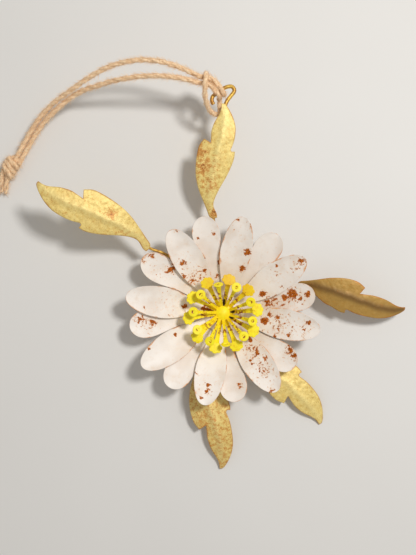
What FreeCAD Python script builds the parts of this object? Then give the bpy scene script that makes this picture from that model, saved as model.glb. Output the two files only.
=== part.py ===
import FreeCAD, Part
import math
import os
import Sketcher

# A flower of painted tin that lies on its back: two layers of petals, two rings of stamens
# and five leaves on wires, held by one rivet, with a loop of twine hitched to a wire eye.
# The origin is on the rivet's axis, at the face that the flower rests on. All lengths are mm.

os.makedirs("parts", exist_ok=True)
doc = FreeCAD.newDocument("TinFlower")

# Driving dimensions

SIZES = {
    "tin_thickness": 0.45,
    "back_plate_radius": 12.0,
    "back_plate_thickness": 0.8,
    "stem_wire_diameter": 1.2,
    "eye_wire_diameter": 1.6,
    "eye_span": 8.0,
    "rivet_shank_radius": 1.5,
    "rivet_head_radius": 2.9,
    "rivet_head_height": 1.1,
    "rivet_tail_radius": 2.3,
    "rivet_clearance": 0.05,
    "petal_washer_radius": 6.0,
    "petal_washer_thickness": 0.8,
    "stamen_washer_radius": 4.0,
    "stamen_washer_thickness": 1.5,
    "stamen_collar_radius": 3.0,
    "stamen_collar_thickness": 0.8,
    "petal_hub_radius": 8.4,
    "petal_root_radius": 6.6,
    "front_petal_reach": 40.0,
    "front_petal_cap": 14.4,
    "front_petal_width": 12.8,
    "front_petal_neck": 4.9,
    "front_petal_rise": 12.6,
    "front_petal_cup": 1.3,
    "rear_petal_reach": 38.5,
    "rear_petal_cap": 6.8,
    "rear_petal_width": 11.4,
    "rear_petal_neck": 4.0,
    "rear_petal_rise": 11.0,
    "rear_petal_cup": 1.0,
    "outer_stamen_hub_radius": 4.0,
    "outer_stamen_reach": 14.4,
    "outer_stamen_rise": 8.0,
    "outer_spoke_width": 1.8,
    "outer_head_length": 4.4,
    "outer_head_width": 5.3,
    "inner_stamen_hub_radius": 3.0,
    "inner_stamen_reach": 12.3,
    "inner_stamen_rise": 10.8,
    "inner_spoke_width": 1.3,
    "inner_head_diameter": 3.5,
    "inner_head_dimple": 1.2,
    "leaf_camber": 1.4,
    "leaf_vein_height": 0.8,
    "leaf_vein_width": 1.6,
    "upper_left_leaf_length": 52.1,
    "upper_left_leaf_base_radius": 41.1,
    "upper_left_leaf_base_height": 12.0,
    "upper_left_leaf_arch": 4.0,
    "top_leaf_length": 46.9,
    "top_leaf_base_radius": 40.2,
    "top_leaf_base_height": 9.0,
    "top_leaf_arch": 3.0,
    "right_leaf_length": 46.1,
    "right_leaf_base_radius": 33.5,
    "right_leaf_base_height": 7.0,
    "right_leaf_arch": 5.0,
    "lower_right_leaf_length": 51.6,
    "lower_right_leaf_base_radius": 13.2,
    "lower_right_leaf_base_height": 2.2,
    "lower_right_leaf_arch": 4.2,
    "bottom_leaf_length": 51.2,
    "bottom_leaf_base_radius": 17.3,
    "bottom_leaf_base_height": 2.6,
    "bottom_leaf_arch": 4.6,
    "stem_inner_radius": 3.6,
    "stem_bend_radius": 34.0,
    "stem_bend_height": 8.9,
    "solder_pool_radius": 7.0,
    "solder_pool_height": 0.7,
    "solder_bead_length": 3.0,
    "solder_bead_diameter": 2.2,
    "twine_diameter": 2.0,
    "knot_length": 9.4,
    "knot_width": 7.4,
    "knot_height": 5.8,
}

sheet = doc.addObject("Spreadsheet::Sheet", "Sizes")
for row, (alias, value) in enumerate(SIZES.items(), start=1):
    sheet.set(f"A{row}", alias)
    sheet.set(f"B{row}", str(value))
    sheet.setAlias(f"B{row}", alias)
doc.recompute()


def size(alias):
    """A driving dimension, read from the sheet."""
    return float(sheet.get(alias))


# What follows from the driving dimensions. A floor is the height of a piece's underside in the
# stack on the rivet, from the table up.

DERIVED = {
    "stem_floor": "back_plate_thickness",
    "rear_petals_floor": "stem_floor + stem_wire_diameter",
    "petal_washer_floor": "rear_petals_floor + tin_thickness",
    "front_petals_floor": "petal_washer_floor + petal_washer_thickness",
    "stamen_washer_floor": "front_petals_floor + tin_thickness",
    "outer_stamens_floor": "stamen_washer_floor + stamen_washer_thickness",
    "stamen_collar_floor": "outer_stamens_floor + tin_thickness",
    "inner_stamens_floor": "stamen_collar_floor + stamen_collar_thickness",
    "rivet_head_floor": "inner_stamens_floor + tin_thickness",
    "rivet_top_floor": "rivet_head_floor + rivet_head_height",
    "hole_radius": "rivet_shank_radius + rivet_clearance",
    "countersink_radius": "rivet_tail_radius + rivet_clearance",
}
for row, (alias, formula) in enumerate(DERIVED.items(), start=len(SIZES) + 1):
    sheet.set(f"A{row}", alias)
    sheet.set(f"B{row}", f"={formula}")
    sheet.setAlias(f"B{row}", alias)
doc.recompute()

TIN = size("tin_thickness")
HOLE = size("hole_radius")
DRAWN_SHARE = 0.9  # what stamping leaves of the sheet where it is drawn into a blade
RUN_SHARE = 0.45  # how much of a run an arc beside it may take


# Turned pieces: a sketched half section, revolved about the rivet's axis


def turned_body(name, outline):
    """A body revolved from corners (radius, height), each an expression on the sheet."""
    body = doc.addObject("PartDesign::Body", name)
    body.Label = name
    section = body.newObject("Sketcher::SketchObject", f"{name}_section")
    plane = [f for f in body.Origin.OriginFeatures if f.Role == "XZ_Plane"][0]
    section.AttachmentSupport = [(plane, "")]
    section.MapMode = "FlatFace"
    places = [(measured(radius), measured(height)) for radius, height in outline]
    count = len(places)
    for index, place in enumerate(places):
        following = places[(index + 1) % count]
        start = FreeCAD.Vector(place[0], place[1], 0)
        end = FreeCAD.Vector(following[0], following[1], 0)
        section.addGeometry(Part.LineSegment(start, end), False)
    for index in range(count):
        following = (index + 1) % count
        section.addConstraint(Sketcher.Constraint("Coincident", index, 2, following, 1))
    for index, (radius, height) in enumerate(outline):
        pin_corner(section, index, "X", radius, -2)
        pin_corner(section, index, "Y", height, -1)
    turn = body.newObject("PartDesign::Revolution", f"{name}_turn")
    turn.Profile = section
    turn.ReferenceAxis = (section, ["V_Axis"])
    turn.Angle = 360
    body.Tip = turn
    return body


def measured(expression):
    """The value now of a sum of sheet names."""
    total = 0.0
    for term in expression.replace("- ", "-").replace("+ ", "").split():
        sign = -1 if term.startswith("-") else 1
        word = term.lstrip("-")
        total += sign * (0.0 if word == "zero" else size(word))
    return total


def pin_corner(section, corner, way, expression, axis):
    """Ties one corner of a section to the origin by a sheet expression."""
    if expression == "zero":
        section.addConstraint(Sketcher.Constraint("PointOnObject", corner, 1, axis))
        return
    kind = f"Distance{way}"
    tie = section.addConstraint(Sketcher.Constraint(kind, -1, 1, corner, 1, measured(expression)))
    words = [f"Sizes.{w}" if w.isidentifier() else w for w in expression.split()]
    section.setExpression(f"Constraints[{tie}]", " ".join(words))


def washer(name, floor, thickness, radius):
    """A flat ring on the rivet's shank."""
    top = f"{floor} + {thickness}"
    return turned_body(
        name,
        [("hole_radius", floor), (radius, floor), (radius, top), ("hole_radius", top)],
    )


back_plate = turned_body(
    "back_plate",
    [
        ("countersink_radius", "zero"),
        ("back_plate_radius", "zero"),
        ("back_plate_radius", "back_plate_thickness"),
        ("hole_radius", "back_plate_thickness"),
    ],
)
petal_washer = washer(
    "petal_washer", "petal_washer_floor", "petal_washer_thickness", "petal_washer_radius"
)
stamen_washer = washer(
    "stamen_washer", "stamen_washer_floor", "stamen_washer_thickness", "stamen_washer_radius"
)
stamen_collar = washer(
    "stamen_collar", "stamen_collar_floor", "stamen_collar_thickness", "stamen_collar_radius"
)


def rivet_body(name):
    """The rivet: a domed head, a shank and a tail spread into the plate's countersink."""
    body = turned_body(
        name,
        [
            ("zero", "zero"),
            ("rivet_tail_radius", "zero"),
            ("rivet_shank_radius", "back_plate_thickness"),
            ("rivet_shank_radius", "rivet_head_floor"),
            ("rivet_head_radius", "rivet_head_floor"),
            ("zero", "rivet_top_floor"),
        ],
    )
    dome_section(body.Group[0])
    return body


def dome_section(section):
    """Trades the head's sloping line for an arc that is centred on the axis."""
    radius = size("rivet_head_radius")
    height = size("rivet_head_height")
    dome = (radius * radius + height * height) / (height + height)
    centre = FreeCAD.Vector(0, size("rivet_top_floor") - dome, 0)
    start = math.asin(radius / dome)
    circle = Part.Circle(centre, FreeCAD.Vector(0, 0, 1), dome)
    arc = section.addGeometry(Part.ArcOfCircle(circle, math.pi / 2 - start, math.pi / 2), False)
    section.setConstruction(4, True)
    section.addConstraint(Sketcher.Constraint("PointOnObject", arc, 3, -2))
    section.addConstraint(Sketcher.Constraint("Coincident", arc, 1, 4, 1))
    section.addConstraint(Sketcher.Constraint("Coincident", arc, 2, 4, 2))


centre_rivet = rivet_body("centre_rivet")
doc.recompute()


# Shapes that several pieces share


def feature(name, shape):
    """A named piece of the document with this shape."""
    piece = doc.addObject("Part::Feature", name)
    piece.Label = name
    piece.Shape = shape
    return piece


def blade_solid(rows, thickness):
    """A thin curved sheet through rows of points, as thick as the tin upwards."""
    surface = Part.BSplineSurface()
    surface.interpolate(rows)
    return surface.toShape().extrude(FreeCAD.Vector(0, 0, thickness))


def ring(radius, floor, thickness):
    """A flat disc with the rivet's hole."""
    base = FreeCAD.Vector(0, 0, floor)
    disc = Part.makeCylinder(radius, thickness, base)
    return disc.cut(Part.makeCylinder(HOLE, thickness, base))


def turned_copies(shape, bearings):
    """Copies of a shape that points along +X, one at each bearing."""
    copies = []
    for bearing in bearings:
        copy = shape.copy()
        copy.rotate(FreeCAD.Vector(0, 0, 0), FreeCAD.Vector(0, 0, 1), bearing)
        copies.append(copy)
    return copies


def one_solid(shape):
    """The single solid of a fused shape."""
    if len(shape.Solids) != 1:
        raise ValueError(f"expected one solid, found {len(shape.Solids)}")
    return shape.Solids[0]


def route_wire(points, told=None):
    """Straight runs joined by tangent arcs; the arcs' radii are added to told."""
    places = [FreeCAD.Vector(*point) for point in points]
    edges = []
    start = places[0]
    for before, corner, after in zip(places, places[1:], places[2:]):
        coming = corner - before
        going = after - corner
        tangent = RUN_SHARE * min(coming.Length, going.Length)
        turn = coming.getAngle(going)
        radius = tangent / math.tan(turn / 2)
        coming.normalize()
        going.normalize()
        inward = going - coming
        inward.normalize()
        first = corner - coming * tangent
        last = corner + going * tangent
        middle = corner + inward * (radius / math.cos(turn / 2) - radius)
        edges.append(Part.LineSegment(start, first).toShape())
        edges.append(Part.Arc(first, middle, last).toShape())
        start = last
        if told is not None:
            told.append(radius)
    edges.append(Part.LineSegment(start, places[-1]).toShape())
    return Part.Wire(edges)


def tube(points, diameter, told=None):
    """A round wire or cord along a route."""
    path = route_wire(points, told)
    start = FreeCAD.Vector(*points[0])
    along = FreeCAD.Vector(*points[1]) - start
    profile = Part.Wire([Part.makeCircle(diameter / 2, start, along)])
    return path.makePipeShell([profile], True, False), path.Length


# Petals: each layer is one stamped sheet, eight blades round a flat hub

ROW_SHARES = [0, 0.07, 0.14, 0.22, 0.32, 0.44, 0.58, 0.72, 0.86, 1]
CAP_DEGREES = [17, 33, 48, 62, 75, 86]
ACROSS_SHARES = [-1, -0.66, -0.33, 0, 0.33, 0.66, 1]
FRONT_SWELL_SHARE = 0.85
REAR_SWELL_SHARE = 1.5
LIFT_SHARE = 0.06  # how softly a petal leaves the flat of its hub

# Bearing of each petal: its length, as a share of its layer's reach
FRONT_LENGTH_SHARES = {
    78.2: 1.02,
    34.0: 1.02,
    -9.6: 1.01,
    -55.0: 0.965,
    -102.0: 0.952,
    -147.2: 0.993,
    169.6: 1.015,
    122.5: 1.02,
}
REAR_LENGTH_SHARES = {
    55.4: 1.037,
    12.4: 1.01,
    -36.4: 0.96,
    -82.0: 0.955,
    -126.8: 0.98,
    -172.4: 1.014,
    145.0: 1.055,
    102.0: 1.07,
}


def petal_blade(kind, floor, swell, length_share):
    """One petal along +X, rising and cupped from its hub."""
    reach = size(f"{kind}_petal_reach") * length_share
    cap = size(f"{kind}_petal_cap") * length_share
    wide = size(f"{kind}_petal_width") / 2
    neck = size(f"{kind}_petal_neck") / 2
    rise = size(f"{kind}_petal_rise")
    cup = size(f"{kind}_petal_cup")
    root = size("petal_root_radius")
    hub = size("petal_hub_radius")
    widest = reach - cap
    sheet_rest = floor + TIN * (1 - DRAWN_SHARE) / 2
    sections = []
    for share in ROW_SHARES:
        radius = root + share * (widest - root)
        along = max(0, (radius - hub) / (widest - hub))
        bulge = math.sin(math.pi / 2 * along**swell) ** 2
        sections.append((radius, neck + (wide - neck) * bulge))
    for degrees in CAP_DEGREES:
        angle = math.radians(degrees)
        sections.append((widest + cap * math.sin(angle), wide * math.cos(angle)))
    rows = []
    for radius, half in sections:
        out = max(0, (radius - hub) / (reach - hub))
        lift = rise * out * out / (out + LIFT_SHARE) * (1 + LIFT_SHARE)
        line = []
        for across in ACROSS_SHARES:
            rim = cup * across * across * (half / wide) * out ** (1 / 2)
            line.append(FreeCAD.Vector(radius, half * across, sheet_rest + lift + rim))
        rows.append(line)
    return blade_solid(rows, TIN * DRAWN_SHARE)


def petal_layer(kind, floor, swell, length_shares):
    """One layer: a hub with a petal at each bearing, as one solid."""
    blades = []
    for bearing, length_share in length_shares.items():
        blades += turned_copies(petal_blade(kind, floor, swell, length_share), [bearing])
    return one_solid(ring(size("petal_hub_radius"), floor, TIN).multiFuse(blades))


rear_petals = feature(
    "rear_petals",
    petal_layer("rear", size("rear_petals_floor"), REAR_SWELL_SHARE, REAR_LENGTH_SHARES),
)
front_petals = feature(
    "front_petals",
    petal_layer("front", size("front_petals_floor"), FRONT_SWELL_SHARE, FRONT_LENGTH_SHARES),
)


# Stamens: flat spokes bent up from a hub, each with a head cut from the same strip

OUTER_BEARINGS = [117.2, 80.3, 43.2, 6.6, -29.1, -67.0, -102.6, -138.3, -173.2, 151.9]
INNER_BEARINGS = [99.6, 64.1, 24.0, -13.0, -47.0, -84.9, -116.5, -149.2, 175.3, 138.8]
OUTER_TILTS = [-8, 6, -12, 0, -6, 8, -10, 4, -4, -14]
INNER_TILTS = [66, 8, -12, 14, -6, -68, 10, -14, 6, -10]
LOBE_COUNT = 7
VALLEY_SHARE = 0.8
SPOKE_SHARE = 0.8  # how thick a spoke is, of the tin


def spoke(reach, rise, width, floor, start):
    """A strip that lies on its hub, bends up and ends level under its head."""
    thin = TIN * SPOKE_SHARE
    low = floor + (TIN - thin) / 2
    foot = start + width / 2
    crest = reach - width / 2
    side = [
        (start - width / 2, low),
        (foot, low),
        (crest, low + rise),
        (reach, low + rise),
        (reach, low + rise + thin),
        (crest - thin / 2, low + rise + thin),
        (foot - thin / 2, low + thin),
        (start - width / 2, low + thin),
    ]
    corners = [FreeCAD.Vector(radius, -width / 2, height) for radius, height in side]
    face = Part.Face(Part.makePolygon(corners + corners[:1]))
    return face.extrude(FreeCAD.Vector(0, width, 0))


def lobed_head(length, width):
    """A scalloped head, centred, lying level."""
    arcs = []
    step = 2 * math.pi / LOBE_COUNT
    for lobe in range(LOBE_COUNT):
        turns = [lobe * step, (lobe + 1 / 2) * step, (lobe + 1) * step]
        grown = [VALLEY_SHARE, 1, VALLEY_SHARE]
        ends = []
        for turn, share in zip(turns, grown):
            x = share * math.cos(turn) * length / 2
            y = share * math.sin(turn) * width / 2
            ends.append(FreeCAD.Vector(x, y, -TIN / 2))
        arcs.append(Part.Arc(*ends).toShape())
    return Part.Face(Part.Wire(arcs)).extrude(FreeCAD.Vector(0, 0, TIN))


def dimpled_head(diameter, dimple):
    """A round head with a punched hollow in its top."""
    disc = Part.makeCylinder(diameter / 2, TIN, FreeCAD.Vector(0, 0, -TIN / 2))
    hollow = Part.makeCone(dimple / 2, dimple, TIN / 2, FreeCAD.Vector(0, 0, 0))
    return disc.cut(hollow)


def stamen_ring(kind, head, floor, bearings, tilts):
    """A hub with its spokes and tilted heads, as one solid."""
    reach = size(f"{kind}_stamen_reach")
    rise = size(f"{kind}_stamen_rise")
    width = size(f"{kind}_spoke_width")
    hub = size(f"{kind}_stamen_hub_radius")
    strip = spoke(reach, rise, width, floor, hub - width / 2)
    pieces = turned_copies(strip, bearings)
    for bearing, tilt in zip(bearings, tilts):
        blossom = head.copy()
        blossom.rotate(FreeCAD.Vector(0, 0, 0), FreeCAD.Vector(0, 1, 0), tilt)
        blossom.translate(FreeCAD.Vector(reach, 0, floor + rise + TIN / 2))
        pieces.extend(turned_copies(blossom, [bearing]))
    return one_solid(ring(hub, floor, TIN).multiFuse(pieces))


outer_stamens = feature(
    "outer_stamens",
    stamen_ring(
        "outer",
        lobed_head(size("outer_head_length"), size("outer_head_width")),
        size("outer_stamens_floor"),
        OUTER_BEARINGS,
        OUTER_TILTS,
    ),
)
inner_stamens = feature(
    "inner_stamens",
    stamen_ring(
        "inner",
        dimpled_head(size("inner_head_diameter"), size("inner_head_dimple") / 2),
        size("inner_stamens_floor"),
        INNER_BEARINGS,
        INNER_TILTS,
    ),
)


# Leaves: one toothed outline, stamped with a raised vein and bent a little differently each

# Shares of a leaf's length: along from its base, and out to the right looking to its tip.
LEAF_OUTLINE_SHARES = [
    (1.0, 0.0),
    (0.956, 0.0),
    (0.911, 0.012),
    (0.831, 0.052),
    (0.749, 0.074),
    (0.687, 0.074),
    (0.633, 0.072),
    (0.666, 0.135),
    (0.607, 0.170),
    (0.536, 0.182),
    (0.450, 0.184),
    (0.357, 0.177),
    (0.255, 0.154),
    (0.161, 0.117),
    (0.078, 0.082),
    (0.012, 0.054),
    (-0.005, 0.020),
    (0.007, -0.009),
    (0.041, -0.004),
    (0.114, 0.028),
    (0.186, 0.018),
    (0.275, -0.023),
    (0.371, -0.079),
    (0.459, -0.120),
    (0.512, -0.133),
    (0.543, -0.133),
    (0.542, -0.107),
    (0.558, -0.095),
    (0.628, -0.117),
    (0.708, -0.128),
    (0.797, -0.127),
    (0.882, -0.103),
    (0.956, -0.062),
    (0.997, -0.026),
]
LEAF_CORNER_COUNT = [0, 6, 7, 16, 17, 24, 25, 27]  # points before each place the snips turned
VEIN_SHARES = [
    (0.0, 0.02),
    (0.15, 0.06),
    (0.3, 0.055),
    (0.45, 0.035),
    (0.6, 0.01),
    (0.75, -0.02),
    (0.9, -0.03),
    (1.0, -0.01),
]
LEAF_GRID_MARGIN_SHARE = 0.03
LEAF_HALF_WIDTH_SHARE = 0.2
LEAF_LONG_STEPS = 22
LEAF_CROSS_STEPS = 18

# name: mirrored, bearing of the base, bearing of the leaf, pitch and roll, in degrees
LEAVES = {
    "upper_left": (False, 140.1, 147.5, 15.6, 0),
    "top": (True, 94.3, 87.0, 13.6, 0),
    "right": (True, 19.6, -10.9, 1.2, 16),
    "lower_right": (False, -29.1, -54.1, -2.0, 0),
    "bottom": (False, -110.7, -84.4, -2.0, 0),
}
# How far along each leaf its notch and its tooth are snipped past the outline's own
NOTCH_SHIFT_SHARES = {
    "upper_left": (0.015, 0.014),
    "top": (0.03, 0.055),
    "right": (-0.085, -0.085),
    "lower_right": (0, 0),
    "bottom": (-0.03, -0.045),
}
NOTCH_SHARES = (0.63, 0.55)  # where the notch and the tooth are in the outline
NOTCH_REACH_SHARE = 0.2  # how far a shift fades out along the leaf
# Where one edge of a leaf is cut fuller than the outline, how far that fades out, and how much:
# more than zero on the edge with the notch, less on the edge with the tooth
FULLER_SHARES = {
    "upper_left": (0.4, 0.2, 0),
    "top": (0.4, 0.2, 0.014),
    "right": (0.235, 0.13, -0.064),
    "lower_right": (0.4, 0.2, 0),
    "bottom": (0.4, 0.2, 0.014),
}
FIRST_TOOTH_EDGE_POINT_COUNT = 17  # points of the outline before its second edge


def vein_line(along):
    """Where the vein runs, as a share of the leaf's length to the right."""
    for (low, left), (high, right) in zip(VEIN_SHARES, VEIN_SHARES[1:]):
        if along <= high:
            part = max(0, (along - low) / (high - low))
            ease = part * part * (3 - 2 * part)
            return left + (right - left) * ease
    return VEIN_SHARES[-1][1]


def leaf_height(name, along, out):
    """The height of a leaf's underside over its chord, at shares of its length."""
    length = size(f"{name}_leaf_length")
    arch = size(f"{name}_leaf_arch") * 4 * along * (1 - along)
    off = out - vein_line(along)
    camber = size("leaf_camber") * (off / LEAF_HALF_WIDTH_SHARE) ** 2
    vein = size("leaf_vein_height") * math.exp(-((off * length / size("leaf_vein_width")) ** 2))
    fade = math.sin(math.pi * min(1, max(0, along)))
    return arch - camber + vein * math.sqrt(fade)


def leaf_placement(name):
    """From a leaf's own frame, +X to its tip and +Y to its left, to its place on the flower."""
    base_bearing, bearing, pitch, roll = LEAVES[name][1:]
    radius = size(f"{name}_leaf_base_radius")
    height = size(f"{name}_leaf_base_height")
    angle = math.radians(base_bearing)
    place = FreeCAD.Vector(radius * math.cos(angle), radius * math.sin(angle), height)
    turn = FreeCAD.Rotation(FreeCAD.Vector(0, 0, 1), bearing)
    turn = turn.multiply(FreeCAD.Rotation(FreeCAD.Vector(0, 1, 0), -pitch))
    turn = turn.multiply(FreeCAD.Rotation(FreeCAD.Vector(1, 0, 0), roll))
    return FreeCAD.Placement(place, turn)


def notch_shift(name, along, out):
    """How far a point of the outline moves toward the tip, as a share of the leaf's length."""
    edge = 0 if out > 0 else 1
    away = (along - NOTCH_SHARES[edge]) / NOTCH_REACH_SHARE
    return NOTCH_SHIFT_SHARES[name][edge] * math.exp(-(away**2))


def fuller(name, place, along):
    """How far out a point of the outline moves, as a share of the leaf's length."""
    where, reach, amount = FULLER_SHARES[name]
    tooth_edge = place >= FIRST_TOOTH_EDGE_POINT_COUNT
    if tooth_edge != (amount < 0):
        return 0
    return amount * math.exp(-(((along - where) / reach) ** 2))


def leaf_solid(name):
    """A leaf in its own frame: the outline, cut from the stamped sheet."""
    mirrored = LEAVES[name][0]
    side = 1 if mirrored else -1
    length = size(f"{name}_leaf_length")
    rows = []
    for step in range(LEAF_LONG_STEPS + 1):
        share = step / LEAF_LONG_STEPS
        along = share * (1 + 2 * LEAF_GRID_MARGIN_SHARE) - LEAF_GRID_MARGIN_SHARE
        line = []
        for cross in range(LEAF_CROSS_STEPS + 1):
            out = (2 * cross / LEAF_CROSS_STEPS - 1) * LEAF_HALF_WIDTH_SHARE
            height = leaf_height(name, along, out)
            line.append(FreeCAD.Vector(along * length, side * out * length, height))
        rows.append(line)
    blank = blade_solid(rows, TIN)
    clear = size(f"{name}_leaf_arch") + size("leaf_camber") + size("leaf_vein_height") + TIN
    points = []
    for place, (along, out) in enumerate(LEAF_OUTLINE_SHARES):
        moved = along + notch_shift(name, along, out)
        wide = side * (out + fuller(name, place, along))
        points.append(FreeCAD.Vector(moved * length, wide * length, -clear))
    points.append(points[0])
    edges = []
    stops = LEAF_CORNER_COUNT + [len(LEAF_OUTLINE_SHARES)]
    for first, last in zip(stops, stops[1:]):
        stretch = points[first : last + 1]
        if len(stretch) > 2:
            curve = Part.BSplineCurve()
            curve.interpolate(stretch)
            edges.append(curve.toShape())
        else:
            edges.append(Part.LineSegment(*stretch).toShape())
    outline = Part.Face(Part.Wire(edges))
    prism = outline.extrude(FreeCAD.Vector(0, 0, clear + clear))
    return one_solid(blank.common(prism))


leaves = {}
for name in LEAVES:
    leaf = feature(f"leaf_{name}", leaf_solid(name))
    leaf.Placement = leaf_placement(name)
    leaves[name] = leaf


# Stems: wires from the back plate to under each leaf, and the eye's wire behind the top leaf

STEM_UNDER_SHARES = [0.0, 0.1, 0.22]
EYE_SHANK_SHARES = [0.66, 0.8, 0.93]
STEM_SEAT_GAP_SHARE = 0.1  # the solder under a leaf, of the wire's diameter
STEM_BEND_BEARINGS = {"upper_left": 133.0}  # a wire bent on its way, in degrees


def under_leaf(name, along, wire):
    """The centre of a wire that lies under the leaf's vein."""
    side = 1 if LEAVES[name][0] else -1
    length = size(f"{name}_leaf_length")
    out = vein_line(along)
    height = leaf_height(name, along, out)
    drop = wire * (1 / 2 + STEM_SEAT_GAP_SHARE)
    local = FreeCAD.Vector(along * length, side * out * length, height - drop)
    return leaf_placement(name).multVec(local)


def stem_route(name):
    """From the plate's middle, out over its edge and up under the leaf."""
    wire = size("stem_wire_diameter")
    angle = math.radians(STEM_BEND_BEARINGS.get(name, LEAVES[name][1]))
    height = size("stem_floor") + wire / 2
    inner = size("stem_inner_radius")
    reach = size(f"{name}_leaf_base_radius")
    edge = min(size("back_plate_radius"), reach - size("stem_inner_radius"))
    route = [(inner * math.cos(angle), inner * math.sin(angle), height)]
    route.append((edge * math.cos(angle), edge * math.sin(angle), height))
    if name in STEM_BEND_BEARINGS:
        bend = size("stem_bend_radius")
        route.append((bend * math.cos(angle), bend * math.sin(angle), size("stem_bend_height")))
    for along in STEM_UNDER_SHARES:
        route.append(tuple(under_leaf(name, along, wire)))
    return route


stems = {}
for name in LEAVES:
    shape, length = tube(stem_route(name), size("stem_wire_diameter"))
    stems[name] = feature(f"stem_{name}", shape)

# Shares of the eye's span, from the leaf's tip: to the right and on beyond the tip.
EYE_SHARES = [
    (0.2, 0.1),
    (0.68, 0.69),
    (0.53, 0.93),
    (0.2, 0.88),
    (-0.48, 0.4),
    (-0.52, 0.17),
    (-0.42, 0.0),
]


def eye_route():
    """Under the top leaf to its tip, then round an open eye that ends beside the tip."""
    wire = size("eye_wire_diameter")
    route = [tuple(under_leaf("top", along, wire)) for along in EYE_SHANK_SHARES]
    span = size("eye_span")
    length = size("top_leaf_length")
    tip = leaf_placement("top").multVec(FreeCAD.Vector(length, 0, 0))
    level = tip.z - wire * (1 / 2 + STEM_SEAT_GAP_SHARE)
    for right, beyond in EYE_SHARES:
        route.append((tip.x + right * span, tip.y + beyond * span, level))
    return route


eye_shape, eye_length = tube(eye_route(), size("eye_wire_diameter"))
hanging_eye = feature("hanging_eye", eye_shape)


# Solder: a pool over the stems' inner ends, and a bead where each leaf sits on its stem


def solder_pool():
    """A low ring on the plate that the stems run through."""
    outer = size("solder_pool_radius")
    inner = size("rivet_head_radius")
    height = size("solder_pool_height")
    base = FreeCAD.Vector(0, 0, size("back_plate_thickness"))
    pool = Part.makeCone(outer, outer - height, height, base)
    pool = pool.cut(Part.makeCylinder(inner, height, base))
    return pool.cut(Part.makeCompound([stem.Shape for stem in stems.values()]))


def solder_bead(name):
    """A short bead round the stem, up against the leaf's underside."""
    wire = size("stem_wire_diameter")
    low = under_leaf(name, STEM_UNDER_SHARES[0], wire)
    high = under_leaf(name, STEM_UNDER_SHARES[1], wire)
    along = high - low
    along.normalize()
    reach = size("solder_bead_length")
    middle = (low + high) / 2
    start = middle - along * (reach / 2)
    bead = Part.makeCylinder(size("solder_bead_diameter") / 2, reach, start, along)
    bead = bead.cut(stems[name].Shape)
    bead = bead.cut(leaves[name].Shape)
    return max(bead.Solids, key=lambda solid: -solid.CenterOfMass.z)


hub_solder = feature("hub_solder", solder_pool())
leaf_solder = feature("leaf_solder", Part.makeCompound([solder_bead(name) for name in LEAVES]))


# The twine: two strands from the eye to a knot on the table, hitched round the eye's wire

UPPER_STRAND = [
    (-2.2, 93.1, 21.2),
    (-4.4, 95.7, 21.5),
    (-8.6, 97.6, 23.0),
    (-16.0, 99.5, 25.6),
    (-24.9, 101.0, 27.2),
    (-34.1, 101.6, 27.0),
    (-43.6, 100.5, 24.6),
    (-53.4, 97.5, 20.6),
    (-62.0, 93.2, 16.0),
    (-70.7, 88.2, 11.4),
    (-77.9, 82.0, 7.6),
    (-83.8, 73.6, 4.7),
    (-88.9, 65.0, 3.3),
]
LOWER_STRAND = [
    (-3.6, 91.2, 21.2),
    (-5.6, 93.3, 21.4),
    (-9.8, 94.5, 22.9),
    (-17.0, 95.0, 25.0),
    (-28.1, 95.7, 26.0),
    (-40.7, 95.1, 23.2),
    (-52.4, 92.9, 17.9),
    (-61.0, 90.4, 13.5),
    (-69.4, 86.0, 9.9),
    (-76.5, 80.2, 6.5),
    (-82.4, 71.9, 4.0),
    (-87.2, 63.5, 3.0),
]
HITCH = [
    (-2.2, 93.1, 21.2),
    (0.3, 89.5, 21.2),
    (0.3, 89.5, 16.9),
    (-2.9, 94.2, 16.9),
    (-6.2, 98.9, 17.6),
    (-7.6, 100.9, 21.3),
    (-7.5, 98.9, 25.5),
    (-7.3, 93.2, 26.2),
    (-7.2, 89.2, 24.5),
    (-7.4, 85.6, 21.4),
    (-5.6, 81.2, 16.6),
    (-1.4, 80.6, 15.2),
    (-1.5, 88.2, 16.4),
    (-1.5, 88.2, 21.2),
    (-3.6, 91.2, 21.2),
]
TAILS = [
    [(-93.2, 60.2, 1.9), (-94.4, 56.4, 1.4), (-94.2, 51.6, 1.1)],
    [(-91.0, 59.6, 1.9), (-92.0, 55.8, 1.4), (-91.7, 51.2, 1.1)],
]
KNOT_PLACE = (-90.6, 62.9)
KNOT_BEARING = 58.0
KNOT_BAND_SHARE = 0.7  # half the height of the doubled twine in the knot, of its diameter


def twine(name, route):
    """A length of twine; its radii and its volume against section times length are told."""
    diameter = size("twine_diameter")
    radii = []
    shape, length = tube(route, diameter, radii)
    whole = math.pi * (diameter / 2) ** 2 * length
    print(name, "radii", [round(radius, 1) for radius in radii], "length", round(length, 1))
    print(name, "volume over section times length", round(shape.Volume / whole, 4))
    return shape


def knot_solid():
    """An overhand knot: a rounded core with a turn of the doubled twine across it."""
    length = size("knot_length")
    width = size("knot_width")
    height = size("knot_height")
    ball = Part.makeSphere(height / 2)
    grow = FreeCAD.Matrix()
    grow.scale(length / height, width / height, 1)
    core = ball.transformGeometry(grow)
    turn = size("twine_diameter")
    band = turn * KNOT_BAND_SHARE
    slant = FreeCAD.Vector(1, 1 / 2, 0)
    hoop = Part.makeTorus(width / 2 - band, band, FreeCAD.Vector(), slant)
    low = FreeCAD.Vector(-length, -length, -height / 2)
    box = Part.makeBox(length * 2, length * 2, height, low)
    knot = core.fuse(hoop).common(box)
    knot.rotate(FreeCAD.Vector(), FreeCAD.Vector(0, 0, 1), KNOT_BEARING)
    knot.translate(FreeCAD.Vector(KNOT_PLACE[0], KNOT_PLACE[1], height / 2))
    return one_solid(knot)


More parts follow.
